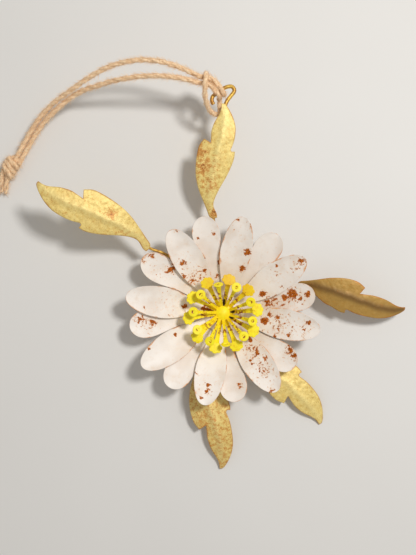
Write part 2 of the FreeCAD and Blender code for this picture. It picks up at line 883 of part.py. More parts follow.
knot = knot_solid()
cord_knot = feature("cord_knot", knot)
hanger_upper = feature("hanger_upper", twine("upper strand", UPPER_STRAND).cut(knot))
hanger_lower = feature("hanger_lower", twine("lower strand", LOWER_STRAND).cut(knot))
cord_hitch = feature("cord_hitch", twine("hitch", HITCH))
tail_solids = [twine("tail", route).cut(knot) for route in TAILS]
cord_tails = feature("cord_tails", Part.makeCompound(tail_solids))

doc.recompute()

# Checks, then one file for each piece

PIECES = [
    back_plate,
    centre_rivet,
    petal_washer,
    stamen_washer,
    stamen_collar,
    rear_petals,
    front_petals,
    outer_stamens,
    inner_stamens,
    hub_solder,
    leaf_solder,
    hanging_eye,
    *leaves.values(),
    *stems.values(),
    hanger_upper,
    hanger_lower,
    cord_hitch,
    cord_knot,
    cord_tails,
]
for item in doc.Objects:
    if "Invalid" in item.State or "Error" in item.State:
        raise ValueError(f"{item.Label} did not recompute: {item.State}")
for piece in PIECES:
    if piece.Shape.isNull() or not piece.Shape.isValid() or not piece.Shape.Solids:
        raise ValueError(f"{piece.Label} has no valid solid")
for piece in PIECES:
    piece.Shape.exportStep(f"parts/{piece.Label}.step")
print(len(PIECES), "pieces written")
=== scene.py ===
"""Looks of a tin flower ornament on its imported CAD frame: painted petals and stamens,
gilt leaves on wires, and a loop of jute twine. Lengths in tables are millimetres."""

import math

import bpy
import numpy as np
from mathutils import Matrix, Vector, noise
from mathutils.geometry import delaunay_2d_cdt


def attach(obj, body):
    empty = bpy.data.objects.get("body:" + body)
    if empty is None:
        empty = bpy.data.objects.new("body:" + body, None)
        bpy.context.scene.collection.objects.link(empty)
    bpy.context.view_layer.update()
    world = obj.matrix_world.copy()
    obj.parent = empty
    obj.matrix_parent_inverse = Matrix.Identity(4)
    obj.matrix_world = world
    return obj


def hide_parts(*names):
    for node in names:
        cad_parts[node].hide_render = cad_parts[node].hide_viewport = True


bl_info = {
    "name": "Tin Flower Ornament",
    "version": (1, 0, 0),
    "blender": (4, 5, 0),
    "location": "View3D > Sidebar > Tin Flower",
    "description": "Dresses the packed tin flower with painted tin, gilt leaves and twine",
    "category": "Add Mesh",
}

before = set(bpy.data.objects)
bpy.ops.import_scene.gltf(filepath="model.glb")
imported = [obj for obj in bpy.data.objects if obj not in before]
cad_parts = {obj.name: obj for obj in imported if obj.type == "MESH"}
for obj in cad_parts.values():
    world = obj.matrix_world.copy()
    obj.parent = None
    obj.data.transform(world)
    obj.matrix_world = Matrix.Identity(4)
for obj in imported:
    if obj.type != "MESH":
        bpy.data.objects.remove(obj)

MM = 0.001
TIN = 0.45
BODY = "ornament"
SWINGING = "hanger"
SMOOTH_BELOW = 50  # degrees between faces, past which an edge of tin stays sharp
MIX_INPUTS = (0, 6, 7)  # a colour mixer's sockets for its share and both colours
MIX_OUTPUT = 2


# Nodes


def srgb(red, green, blue):
    """A linear colour from 0 to 255 display values."""
    shares = [value / 255 for value in (red, green, blue)]
    linear = [s / 12.92 if s <= 0.04045 else ((s + 0.055) / 1.055) ** 2.4 for s in shares]
    return (*linear, 1.0)


def chosen(name):
    """A colour from the settings."""
    return tuple(getattr(bpy.context.scene.tin_flower, name))


def feed(tree, socket, value):
    """Sets a socket, or links it where the value is a field or another socket."""
    if isinstance(value, Field):
        value = value.socket
    if isinstance(value, bpy.types.NodeSocket):
        tree.links.new(value, socket)
    else:
        socket.default_value = value


def put(tree, kind, inputs=None, **settings):
    """A node in the tree; inputs are values, fields or sockets by name or place."""
    node = tree.nodes.new(kind)
    for name, value in settings.items():
        setattr(node, name, value)
    for name, value in (inputs or {}).items():
        feed(tree, node.inputs[name], value)
    return node


class Field:
    """A number that differs from place to place; sums of fields are nodes of their tree."""

    def __init__(self, tree, socket):
        self.tree = tree
        self.socket = socket

    def combined(self, operation, other):
        """The result of one sum."""
        node = put(self.tree, "ShaderNodeMath", {0: self, 1: other}, operation=operation)
        return Field(self.tree, node.outputs[0])

    def __add__(self, other):
        return self.combined("ADD", other)

    def __sub__(self, other):
        return self.combined("SUBTRACT", other)

    def __mul__(self, other):
        return self.combined("MULTIPLY", other)

    def step(self, low, high):
        """0 below low, 1 above high, smooth between."""
        inputs = {"Value": self, "From Min": low, "From Max": high}
        node = put(self.tree, "ShaderNodeMapRange", inputs, interpolation_type="SMOOTHSTEP")
        return Field(self.tree, node.outputs["Result"])


class Paint:
    """A material in the making: its nodes, its shader and the colour laid on so far."""

    def __init__(self, name, colour):
        self.material = bpy.data.materials.new(name)
        self.material.use_nodes = True
        self.tree = self.material.node_tree
        self.tree.nodes.clear()
        self.shader = put(self.tree, "ShaderNodeBsdfPrincipled")
        put(self.tree, "ShaderNodeOutputMaterial", {"Surface": self.shader.outputs["BSDF"]})
        self.place = put(self.tree, "ShaderNodeTexCoord").outputs["Object"]
        self.colour = colour

    def blended(self, share, first, second):
        """One colour going over to another."""
        node = put(self.tree, "ShaderNodeMix", data_type="RGBA")
        for place, value in zip(MIX_INPUTS, (share, first, second)):
            feed(self.tree, node.inputs[place], value)
        return node.outputs[MIX_OUTPUT]

    def cover(self, share, colour):
        """Lays another colour over the paint, as thickly as the share says."""
        self.colour = self.blended(share, self.colour, colour)

    def grain(self, scale, detail=3.0, rough=0.55, place=None):
        """Cloudy noise, 0 to 1, with patches about 1000 / scale mm wide."""
        place = self.place if place is None else place
        inputs = {"Vector": place, "Scale": scale, "Detail": detail, "Roughness": rough}
        return Field(self.tree, put(self.tree, "ShaderNodeTexNoise", inputs).outputs["Fac"])

    def dimples(self, scale):
        """Soft distance to the nearest of many scattered points."""
        inputs = {"Vector": self.place, "Scale": scale}
        node = put(self.tree, "ShaderNodeTexVoronoi", inputs, feature="SMOOTH_F1")
        return Field(self.tree, node.outputs["Distance"])

    def written(self, name):
        """A number written on the mesh's points."""
        node = put(self.tree, "ShaderNodeAttribute", attribute_name=name)
        return Field(self.tree, node.outputs["Fac"])

    def bump(self, height, distance, strength, under=None):
        """Relief of this height, its distance in metres, on another relief if there is one."""
        inputs = {"Height": height, "Distance": distance, "Strength": strength}
        if under is not None:
            inputs["Normal"] = under
        return put(self.tree, "ShaderNodeBump", inputs).outputs["Normal"]

    def finish(self, inputs):
        """Gives the shader its colour and these inputs, and returns the material."""
        for name, value in {"Base Color": self.colour, **inputs}.items():
            feed(self.tree, self.shader.inputs[name], value)
        return self.material


def geometry_tree(name, inputs):
    """A node group from one geometry to another, and its entry with these named inputs."""
    tree = bpy.data.node_groups.new(name, "GeometryNodeTree")
    for way in ("INPUT", "OUTPUT"):
        tree.interface.new_socket("Geometry", in_out=way, socket_type="NodeSocketGeometry")
    for label, kind in inputs.items():
        tree.interface.new_socket(label, in_out="INPUT", socket_type=f"NodeSocket{kind}")
    return tree, put(tree, "NodeGroupInput").outputs


def end_tree(tree, entry, geometry):
    """Ends a node group: instances become plain and take the material of its input."""
    plain = put(tree, "GeometryNodeRealizeInstances", {"Geometry": geometry})
    inputs = {"Geometry": plain.outputs[0], "Material": entry["Material"]}
    painted = put(tree, "GeometryNodeSetMaterial", inputs)
    put(tree, "NodeGroupOutput", {"Geometry": painted.outputs[0]})


def vector_of(tree, name):
    """A vector that the node group reads from each point."""
    inputs = {"Name": name}
    node = put(tree, "GeometryNodeInputNamedAttribute", inputs, data_type="FLOAT_VECTOR")
    return node.outputs["Attribute"]


# Meshes


def write(piece, name, values):
    """Writes a float or a vector for each point of a mesh."""
    values = np.asarray(values, np.float32)
    kind, word = ("FLOAT", "value") if values.ndim == 1 else ("FLOAT_VECTOR", "vector")
    layer = piece.data.attributes.get(name) or piece.data.attributes.new(name, kind, "POINT")
    layer.data.foreach_set(word, values.ravel())


def new_object(name, points, faces, **attributes):
    """A mesh object from points in mm and faces, with numbers written on its points."""
    mesh = bpy.data.meshes.new(name)
    mesh.from_pydata((np.asarray(points) * MM).tolist(), [], faces)
    mesh.validate()
    piece = bpy.data.objects.new(name, mesh)
    bpy.context.scene.collection.objects.link(piece)
    for label, values in attributes.items():
        write(piece, label, values)
    return piece


def points_of(piece):
    """The mesh's points in mm."""
    flat = np.zeros(len(piece.data.vertices) * 3)
    piece.data.vertices.foreach_get("co", flat)
    return flat.reshape(-1, 3) / MM


def move_points(piece, points):
    """Puts the mesh's points at these places in mm."""
    piece.data.vertices.foreach_set("co", (points * MM).ravel())
    piece.data.update()


def smooth(piece, degrees=SMOOTH_BELOW):
    """Shades the piece smooth, but sharp where it bends by more."""
    piece.data.shade_smooth()
    piece.data.set_sharp_from_angle(angle=math.radians(degrees))


def joined(name, pieces):
    """Several plain meshes as one piece."""
    target = pieces[0]
    with bpy.context.temp_override(
        active_object=target, object=target, selected_editable_objects=pieces
    ):
        bpy.ops.object.join()
    target.name = name
    target.data.name = name
    return target


def evaluated_mesh(piece):
    """The piece's mesh with its modifiers and splines worked out."""
    bpy.context.view_layer.update()
    depsgraph = bpy.context.evaluated_depsgraph_get()
    return bpy.data.meshes.new_from_object(piece.evaluated_get(depsgraph))


def grown(piece, tree, values):
    """Runs a node group on the piece and makes the result its plain mesh."""
    modifier = piece.modifiers.new(tree.name, "NODES")
    modifier.node_group = tree
    for item in tree.interface.items_tree:
        if item.item_type == "SOCKET" and item.in_out == "INPUT" and item.name in values:
            modifier[item.identifier] = values[item.name]
    mesh = evaluated_mesh(piece)
    piece.modifiers.remove(modifier)
    piece.data = mesh
    mesh.name = piece.name
    return piece


def copies_tree():
    """Sets a source object on each point, turned and grown by the point's own vectors."""
    tree, entry = geometry_tree("Set Copies", {"Source": "Object", "Material": "Material"})
    source = put(tree, "GeometryNodeObjectInfo", {"Object": entry["Source"]})
    rotation = put(tree, "FunctionNodeEulerToRotation", {"Euler": vector_of(tree, "turn")})
    inputs = {
        "Points": entry["Geometry"],
        "Instance": source.outputs["Geometry"],
        "Rotation": rotation.outputs["Rotation"],
        "Scale": vector_of(tree, "grow"),
    }
    copies = put(tree, "GeometryNodeInstanceOnPoints", inputs)
    end_tree(tree, entry, copies.outputs[0])
    return tree


def set_down(name, points, turns, grows, source, material):
    """Copies of a mesh object set on points by a node group, as one plain piece."""
    tree = bpy.data.node_groups.get("Set Copies") or copies_tree()
    holder = new_object(name, points, [], turn=turns, grow=grows)
    piece = grown(holder, tree, {"Source": source, "Material": material})
    bpy.data.objects.remove(source)
    return piece


WALL_BULGE = 0.3  # of a sheet's rounded wall, as a share of its thickness


def thick_sheet(low, faces, loop, thickness):
    """A closed sheet from an underside, its faces and its outer loop, both seen from above
    and counterclockwise: the same faces again above it and a rounded wall."""
    count = len(low)
    high = low + np.array([0, 0, thickness])
    ring = low[loop]
    along = np.roll(ring, -1, axis=0) - np.roll(ring, 1, axis=0)
    outward = np.stack([along[:, 1], -along[:, 0], np.zeros(len(loop))], axis=1)
    outward /= np.maximum(np.linalg.norm(outward, axis=1, keepdims=True), 1e-9)
    middle = ring + outward * thickness * WALL_BULGE + np.array([0, 0, thickness / 2])
    points = np.vstack([low, high, middle])
    made = [tuple(reversed(face)) for face in faces]
    made += [tuple(index + count for index in face) for face in faces]
    size = len(loop)
    for step, first in enumerate(loop):
        following = (step + 1) % size
        second = loop[following]
        near = count * 2 + step
        far = count * 2 + following
        made.append((first, second, far, near))
        made.append((near, far, second + count, first + count))
    return points, made


def grid_sheet(rows, thickness):
    """A closed sheet from rows of points that follow one another along +X."""
    size = len(rows[0])
    last = (len(rows) - 1) * size
    faces = []
    for start in range(0, last, size):
        for first in range(start, start + size - 1):
            faces.append((first, first + size, first + size + 1, first + 1))
    loop = list(range(0, last + 1, size))
    loop += range(last + 1, last + size)
    loop += range(last - 1, size - 2, -size)
    loop += range(size - 2, 0, -1)
    return thick_sheet(np.array([point for row in rows for point in row]), faces, loop, thickness)


def both_sides(values, solid, wall):
    """A sheet's numbers for its underside and its top, with one number for its wall."""
    return np.concatenate([values, values, np.full(len(solid) - 2 * len(values), float(wall))])


def tube_faces(rings, sides):
    """The faces between rings of points that follow one another."""
    faces = []
    for first in range(0, (rings - 1) * sides, sides):
        second = first + sides
        for side in range(sides):
            after = (side + 1) % sides
            faces.append((first + side, first + after, second + after, second + side))
    return faces


# Paints and metals


def petal_paint():
    """Off-white paint on tin, stained, with rust where it has chipped and painted shadow in the
    gaps by the hub.
    """
    paint = Paint("petal_paint_look", chosen("petal_colour"))
    rim = paint.written("rim")
    fine = paint.grain(2100, 4, 0.65)
    paint.cover(paint.grain(90, 2).step(0.4, 0.7), srgb(232, 218, 204))
    paint.cover(paint.grain(300, 4).step(0.5, 0.8) * 0.45, srgb(226, 202, 176))
    level = paint.written("wear") + paint.grain(880, 4, 0.6) * 1.5 + fine * 0.5
    paint.cover(level.step(1.2, 1.4) * 0.4, srgb(238, 184, 124))
    speck = level.step(1.38, 1.44)
    deep = fine.step(0.42, 0.62)
    paint.cover(speck, paint.blended(deep, chosen("rust_colour"), srgb(204, 114, 36)))
    # Painted shadow: near-black spots in the deep gaps by the hub, which lie in shade.
    paint.cover(paint.written("pit").step(0.45, 0.55), srgb(40, 22, 14))
    edge = (rim + paint.grain(150, 3) * 3.2).step(2.45, 3.0) * 0.85 * rim.step(0.1, 0.5)
    pale = fine.step(0.45, 0.55)
    paint.cover(edge, paint.blended(pale, srgb(236, 166, 92), srgb(204, 126, 58)))
    rust = speck.combined("MAXIMUM", edge)
    dents = paint.bump(paint.grain(130, 2), 0.0006, 0.35)
    return paint.finish(
        {
            "Roughness": rust * 0.27 + 0.52,
            "Specular IOR Level": rust * -0.4 + 0.5,
            "Coat Weight": 0.05,
            "Coat Roughness": 0.3,
            "Normal": paint.bump(fine - rust, 0.00012, 0.5, dents),
        }
    )


def stamen_paint():
    """Bright yellow paint, with painted shade in orange low in its folds and on heads that face
    away from the light, and rust dots.
    """
    paint = Paint("stamen_paint_look", chosen("stamen_colour"))
    fine = paint.grain(1900)
    middling = paint.grain(750)
    paint.cover(middling.step(0.35, 0.7), srgb(252, 224, 10))
    # Painted shade: orange low in the folds and on the heads that face away from the light.
    paint.cover(paint.written("shade"), srgb(236, 174, 8))
    level = paint.written("wear") + middling * 1.1 + fine * 0.7
    paint.cover(level.step(1.12, 1.45) * 0.4, srgb(222, 138, 16))
    paint.cover(level.step(1.36, 1.44), srgb(146, 70, 14))
    # Painted shadow: near-black spots in the deep gaps by the hub, which lie in shade.
    paint.cover(paint.written("pit").step(0.45, 0.55), srgb(48, 26, 12))
    return paint.finish({"Roughness": 0.52, "Normal": paint.bump(fine, 0.0001, 0.6)})


def leaf_gilt():
    """Gilded tin, beaten in small dents, browned and specked by rust, with painted shade on a
    leaf that faces away from the light and a painted highlight along the vein.
    """
    paint = Paint("leaf_gilt_look", chosen("gilt_colour"))
    age = paint.written("age")
    vein = paint.written("vein")
    fine = paint.grain(2200, 4, 0.65)
    middling = paint.grain(700, 5, 0.65)
    broad = paint.grain(120, 2)
    paint.cover(middling.step(0.35, 0.68), srgb(228, 195, 108))
    paint.cover(broad.step(0.5, 0.75) * 0.3, srgb(212, 166, 84))
    # Painted highlight along the vein's ridge.
    paint.cover(vein * 0.35, srgb(252, 234, 160))
    # Browning, and painted shade on the right leaf, which faces away from the light; darkest in
    # its vein's crease.
    paint.cover(age, srgb(170, 122, 44))
    paint.cover(vein * age, srgb(104, 70, 26))
    paint.cover(fine.step(0.55, 0.68) * 0.55, srgb(158, 116, 54))
    level = paint.written("wear") + middling * 1.1 + fine * 0.8
    paint.cover(level.step(1.2, 1.45) * 0.75, srgb(206, 124, 44))
    speck = level.step(1.48, 1.62)
    paint.cover(speck, srgb(132, 66, 26))
    edge = (paint.written("rim") + broad * 1.6).step(1.5, 1.95)
    paint.cover(edge * 0.7, srgb(190, 122, 48))
    beaten = paint.bump(paint.dimples(800), 0.0003, 0.4)
    normal = paint.bump(fine, 0.00012, 0.8, beaten)
    return paint.finish({"Metallic": speck * -0.15 + 0.2, "Roughness": 0.5, "Normal": normal})


def wire_gilt():
    """Old gilt wire, browned."""
    paint = Paint("wire_gilt_look", srgb(226, 184, 84))
    fine = paint.grain(1400, 4)
    paint.cover(paint.grain(380).step(0.35, 0.65), srgb(176, 126, 52))
    paint.cover(fine.step(0.58, 0.7), srgb(96, 54, 26))
    normal = paint.bump(fine, 0.0001, 0.6)
    return paint.finish({"Metallic": 0.5, "Roughness": 0.45, "Normal": normal})


def bare_tin():
    """Grey tin plate, spotted with rust."""
    paint = Paint("bare_tin_look", srgb(176, 172, 164))
    fine = paint.grain(900, 5)
    middling = paint.grain(260)
    paint.cover(middling.step(0.3, 0.7), srgb(146, 138, 128))
    rust = (fine + middling).step(1.12, 1.28)
    paint.cover(rust, srgb(132, 70, 34))
    normal = paint.bump(fine, 0.0001, 0.6)
    return paint.finish({"Metallic": 0.6, "Roughness": rust * 0.4 + 0.38, "Normal": normal})


def solder():
    """Dull grey solder, frozen in soft ripples."""
    paint = Paint("solder_look", srgb(186, 184, 178))
    ripples = paint.grain(500, 2)
    paint.cover(ripples.step(0.35, 0.7), srgb(140, 137, 130))
    normal = paint.bump(ripples, 0.0004, 0.6)
    return paint.finish({"Metallic": 0.7, "Roughness": 0.4, "Normal": normal})


def jute():
    """Dry, pale brown jute: fibres drawn along the ply, each a little different."""
    paint = Paint("jute_look", chosen("jute_colour"))
    run = put(paint.tree, "ShaderNodeUVMap", uv_map="run").outputs["UV"]
    drawn = put(paint.tree, "ShaderNodeMapping", {"Vector": run, "Scale": (900, 9, 1)})
    streaks = paint.grain(1.0, 3, 0.6, drawn.outputs["Vector"])
    paint.cover(streaks.step(0.3, 0.7), srgb(230, 188, 142))
    paint.cover(paint.grain(180, 2).step(0.45, 0.75) * 0.45, srgb(236, 196, 150))
    return paint.finish(
        {
            "Roughness": 0.85,
            "Sheen Weight": 0.2,
            "Sheen Roughness": 0.5,
            "Normal": paint.bump(streaks, 0.0002, 0.7),
        }
    )


def floor_paint():
    """Pale, faintly clouded floor."""
    paint = Paint("floor", srgb(222, 219, 214))
    paint.cover(paint.grain(12, 2), srgb(228, 225, 220))
    return paint.finish({"Roughness": 0.8})


FINISHES = [petal_paint, stamen_paint, leaf_gilt, wire_gilt, bare_tin, solder, jute]


def material_of(slot):
    """The material of a slot, made once."""
    makers = {finish.__name__: finish for finish in FINISHES}
    return bpy.data.materials.get(f"{slot}_look") or makers[slot]()


def dress(piece, slot, body=BODY, *nodes):
    """Gives a new piece its material, slot, body and the nodes that it stands for."""
    piece.data.materials.clear()
    piece.data.materials.append(material_of(slot))
    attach(piece, body)
    if nodes:
        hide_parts(*nodes)


# Twine

PLY_OFFSET = 0.3  # from the twine's middle line
PLY_RADIUS = 0.74
PLY_SIDES = 9
PLY_STEP = 0.32
PLY_SWELL = 0.12  # how much a ply's radius wanders, as a share
PLY_SWELL_SCALE = 0.9
PLY_RIDGES = 3
PLY_RIDGE = 0.07  # how much they stand out, as a share
PLY_RIDGE_TWIST = 3.1
THIN_END_SHARE = 0.3  # of a frayed ply's section
LOOSE_END_SHARE = 1.6  # how much further apart frayed plies lie
NEXT_TWINE_PHASE = 1.3  # between one length of twine and the next
SMOOTH_TWINE_BELOW = 60
RUN_SCALE = (0.006, 120)  # of the UV map, round a ply and along it
FIBRE_LENGTH = 2.4
FIBRE_RADIUS = 0.05
FIBRE_BEND = (0.12, 0.16)
FIBRE_TAPER = 0.6
FIBRE_RINGS = 6
FIBRE_SCALES = (0.45, 1.1)
FIBRE_ROLL = 3.1  # radians about its own length, at most
FIBRE_DIP = 0.05  # radians into the ply, at most
FIBRE_LIFT_SHARE = 0.8  # of the spread, away from the ply
HITCH_STRAY = 0.45  # the hitch's fibres lie closer, next to the leaf
FRAYED_LENGTH = 6.0
LOWEST = 0.02  # of the twine's points over the floor
UPPER_STRAND = [
    (-2.2, 93.1, 21.2), (-4.4, 95.7, 21.5), (-8.6, 95.3, 23.0), (-16.0, 98.4, 25.6),
    (-24.9, 101.0, 27.2), (-34.1, 101.6, 27.0), (-43.6, 100.5, 24.6), (-53.4, 97.0, 20.8),
    (-62.0, 92.3, 16.4), (-70.7, 88.2, 11.4), (-77.9, 82.0, 7.6), (-83.8, 73.6, 4.7),
    (-88.9, 65.0, 3.3),
]
LOWER_STRAND = [
    (-3.6, 91.2, 21.2), (-5.6, 93.3, 21.4), (-9.8, 93.4, 22.7), (-17.0, 94.9, 24.8),
    (-28.1, 95.7, 26.0), (-40.7, 95.1, 23.2), (-52.4, 93.4, 17.6), (-61.0, 91.6, 13.2),
    (-69.4, 86.0, 9.9), (-76.5, 80.2, 6.5), (-82.4, 71.9, 4.0), (-87.2, 63.5, 3.0),
]
HITCH = [
    (-2.2, 93.1, 21.2), (0.3, 89.5, 21.2), (0.3, 89.5, 16.9), (-2.9, 94.2, 16.9),
    (-6.0, 96.4, 17.9), (-7.0, 97.6, 21.3), (-7.0, 96.2, 25.4), (-7.3, 92.7, 26.3),
    (-7.6, 89.4, 24.4), (-7.1, 86.0, 21.2), (-5.0, 82.4, 16.6), (-1.2, 82.0, 15.0),
    (-1.5, 88.2, 16.4), (-1.5, 88.2, 21.2), (-3.6, 91.2, 21.2),
]
TAILS = [
    [(-93.9, 61.4, 2.3), (-95.2, 57.0, 1.7), (-95.2, 51.8, 1.5)],
    [(-91.7, 60.0, 2.3), (-93.1, 56.0, 1.6), (-93.1, 51.3, 1.5)],
]
KNOT_CENTRE = (-90.6, 62.9, 2.9)
KNOT_BEARING = 58.0
# Places of a strand in the knot: ahead, share of its distance from the middle, and up
KNOT_STRAND = [(4.4, 1.1, 0.3), (2.2, 1, 0), (0, 0.8, -0.3), (-2.4, 1, -0.6), (-4.2, 1.1, -0.9)]
KNOT_ASIDE = 0.95
# Turns round the strands: how far ahead, and how much further for each mm aside
KNOT_TURNS = [(-2.6, 0.55), (-0.5, 0.55), (1.5, 0.35)]
KNOT_TURN_SIZE = (2.55, 1.85)
KNOT_TURN_STEPS = 16
KNOT_TURN_START = -2.4
KNOT_TURN_ADVANCE = 0.5


def route_line(points):
    """Points in mm along the smooth spline of a route."""
    curve = bpy.data.curves.new("route", "CURVE")
    curve.dimensions = "3D"
    spline = curve.splines.new("NURBS")
    spline.points.add(len(points) - 1)
    for place, point in zip(spline.points, points):
        place.co = (*(value * MM for value in point), 1)
    spline.order_u = 3
    spline.use_endpoint_u = True
    spline.resolution_u = 24
    holder = bpy.data.objects.new("route", curve)
    bpy.context.scene.collection.objects.link(holder)
    mesh = evaluated_mesh(holder)
    line = np.array([vertex.co for vertex in mesh.vertices]) / MM
    bpy.data.objects.remove(holder)
    bpy.data.meshes.remove(mesh)
    bpy.data.curves.remove(curve)
    return line


def evened(line, step):
    """The same line with its points an even step apart, and the distance along to each."""
    lengths = np.linalg.norm(np.diff(line, axis=0), axis=1)
    line = line[np.concatenate([[True], lengths > 1e-6])]
    reach = np.concatenate([[0], np.cumsum(np.linalg.norm(np.diff(line, axis=0), axis=1))])
    marks = np.linspace(0, reach[-1], max(3, int(reach[-1] / step) + 1))
    return np.stack([np.interp(marks, reach, line[:, axis]) for axis in range(3)], axis=1), marks


def carried_frames(line):
    """A direction along and two across at each point, turning as little as can be."""
    along = np.gradient(line, axis=0)
    along /= np.linalg.norm(along, axis=1, keepdims=True)
    first = np.array([0.0, 0.0, 1.0]) if abs(along[0][2]) < 0.9 else np.array([1.0, 0, 0])
    across = np.zeros_like(line)
    across[0] = np.cross(along[0], first)
    across[0] /= np.linalg.norm(across[0])
    for index in range(1, len(line)):
        turned = across[index - 1] - along[index] * np.dot(across[index - 1], along[index])
        across[index] = turned / np.linalg.norm(turned)
    return along, across, np.cross(along, across)


def ply_points(line, marks, phase, offset, taper):
    """Rings of one ply that winds round the line, and its own direction at each ring."""
    _, across, other = carried_frames(line)
    lay = bpy.context.scene.tin_flower.lay_length / MM
    angles = marks * 2 * math.pi / lay + phase
    aside = np.cos(angles)[:, None] * across + np.sin(angles)[:, None] * other
    centres = line + offset[:, None] * aside
    along, across, other = carried_frames(centres)
    turns = np.arange(PLY_SIDES) * 2 * math.pi / PLY_SIDES
    rings = []
    for index, centre in enumerate(centres):
        wander = Vector((marks[index] * PLY_SWELL_SCALE, phase, PLY_OFFSET))
        swell = 1 + PLY_SWELL * noise.noise(wander)
        ridge = 1 + PLY_RIDGE * np.cos(PLY_RIDGES * turns + marks[index] * PLY_RIDGE_TWIST)
        reach = PLY_RADIUS * swell * ridge * taper[index]
        wide = np.outer(np.cos(turns) * reach, across[index])
        tall = np.outer(np.sin(turns) * reach, other[index])
        rings.append(centre + wide + tall)
    return np.vstack(rings), along


def ply_piece(name, line, phase, fade):
    """One ply of twine as a mesh tube, with its run as a UV map and its direction kept."""
    line, marks = evened(line, PLY_STEP)
    taper = np.ones(len(marks))
    offset = np.full(len(marks), PLY_OFFSET)
    if fade:
        left = np.clip((marks[-1] - marks) / fade, 0, 1)
        taper = np.maximum(left, THIN_END_SHARE) ** 0.5
        offset = PLY_OFFSET * (1 + LOOSE_END_SHARE * (1 - left))
    points, along = ply_points(line, marks, phase, offset, taper)
    faces = tube_faces(len(line), PLY_SIDES)
    faces.append(tuple(reversed(range(PLY_SIDES))))
    faces.append(tuple(range(len(points) - PLY_SIDES, len(points))))
    piece = new_object(name, points, faces, along=np.repeat(along, PLY_SIDES, axis=0))
    run = piece.data.uv_layers.new(name="run")
    for corner, loop in enumerate(piece.data.loops):
        ring, side = divmod(loop.vertex_index, PLY_SIDES)
        turn = side / PLY_SIDES
        run.data[corner].uv = (turn * RUN_SCALE[0], marks[ring] * MM * RUN_SCALE[1])
    return piece


def fibre_tree():
    """Loose fibres scattered on a ply, lying mostly along it."""
    kinds = {"Fibre": "Object", "Material": "Material", "Seed": "Int"}
    tree, entry = geometry_tree("Loose Fibres", {**kinds, "Density": "Float", "Spread": "Float"})
    ply = entry["Geometry"]
    seed = entry["Seed"]
    spread = Field(tree, entry["Spread"])
    fibre = put(tree, "GeometryNodeObjectInfo", {"Object": entry["Fibre"]})
    inputs = {"Mesh": ply, "Density": entry["Density"], "Seed": seed}
    scatter = put(tree, "GeometryNodeDistributePointsOnFaces", inputs)
    inputs = {"Rotation": scatter.outputs["Rotation"], "Vector": vector_of(tree, "along")}
    laid = put(tree, "FunctionNodeAlignRotationToVector", inputs, axis="X", pivot_axis="Z")
    inputs = {"X": 0.0, "Y": spread * -FIBRE_LIFT_SHARE, "Z": spread * -1.0}
    lowest = put(tree, "ShaderNodeCombineXYZ", inputs)
    inputs = {"X": FIBRE_ROLL, "Y": FIBRE_DIP, "Z": spread}
    highest = put(tree, "ShaderNodeCombineXYZ", inputs)
    inputs = {0: lowest.outputs[0], 1: highest.outputs[0], "Seed": seed}
    stray = put(tree, "FunctionNodeRandomValue", inputs, data_type="FLOAT_VECTOR")
    bent = put(tree, "FunctionNodeEulerToRotation", {"Euler": stray.outputs[0]})
    inputs = {"Rotation": laid.outputs[0], "Rotate By": bent.outputs[0]}
    turned = put(tree, "FunctionNodeRotateRotation", inputs, rotation_space="LOCAL")
    inputs = {2: FIBRE_SCALES[0], 3: FIBRE_SCALES[1], "Seed": seed}
    length = put(tree, "FunctionNodeRandomValue", inputs, data_type="FLOAT")
    inputs = {
        "Points": scatter.outputs["Points"],
        "Instance": fibre.outputs["Geometry"],
        "Rotation": turned.outputs[0],
        "Scale": length.outputs[1],
    }
    fibres = put(tree, "GeometryNodeInstanceOnPoints", inputs)
    both = put(tree, "GeometryNodeJoinGeometry")
    for part in (ply, fibres.outputs[0]):
        tree.links.new(part, both.inputs[0])
    end_tree(tree, entry, both.outputs[0])
    return tree


def fibre_source():
    """One thin fibre along +X, curved and drawn out to its tip."""
    points = []
    for ring in range(FIBRE_RINGS):
        share = ring / (FIBRE_RINGS - 1)
        reach = FIBRE_RADIUS * (1 - share * FIBRE_TAPER)
        x = FIBRE_LENGTH * share
        y = FIBRE_BEND[0] * math.sin(share * 3)
        z = FIBRE_BEND[1] * share * share
        for side in range(3):
            angle = side * 2 * math.pi / 3
            points.append((x, y + reach * math.cos(angle), z + reach * math.sin(angle)))
    return new_object("fibre", points, tube_faces(FIBRE_RINGS, 3))


def twine_piece(name, lines, seed, fade=0.0, stray=1.0):
    """Twine along one line or several, as one piece with loose fibres."""
    look = bpy.context.scene.tin_flower
    plies = []
    for number, line in enumerate(lines):
        for turn in range(2):
            phase = turn * math.pi + number * NEXT_TWINE_PHASE
            plies.append(ply_piece(f"ply_{number}_{turn}", line, phase, fade))
    piece = joined(name, plies)
    smooth(piece, SMOOTH_TWINE_BELOW)
    tree = bpy.data.node_groups.get("Loose Fibres") or fibre_tree()
    fibre = fibre_source()
    values = {
        "Fibre": fibre,
        "Material": material_of("jute"),
        "Density": look.fibre_density * 1e6,
        "Spread": look.fibre_spread * stray,
        "Seed": seed,
    }
    grown(piece, tree, values)
    bpy.data.objects.remove(fibre)
    points = points_of(piece)
    points[:, 2] = np.maximum(points[:, 2], LOWEST)
    move_points(piece, points)
    return piece


def knot_lines():
    """The knot: two strands through it and the turns that grip them."""
    bearing = math.radians(KNOT_BEARING)
    ahead = np.array([math.cos(bearing), math.sin(bearing), 0])
    aside = np.array([-math.sin(bearing), math.cos(bearing), 0])
    up = np.array([0, 0, 1.0])
    middle = np.array(KNOT_CENTRE)
    lines = []
    for shift in (-KNOT_ASIDE, KNOT_ASIDE):
        lines.append([middle + ahead * x + aside * shift * y + up * z for x, y, z in KNOT_STRAND])
    for start, slope in KNOT_TURNS:
        points = []
        for step in range(KNOT_TURN_STEPS + 1):
            share = step / KNOT_TURN_STEPS
            angle = share * 2 * math.pi + KNOT_TURN_START
            wide = math.cos(angle) * KNOT_TURN_SIZE[0]
            tall = math.sin(angle) * KNOT_TURN_SIZE[1]
            slide = start + slope * wide + KNOT_TURN_ADVANCE * (share - 0.5)
            points.append(middle + ahead * slide + aside * wide + up * tall)
        lines.append(points)
    return [route_line(points) for points in lines]


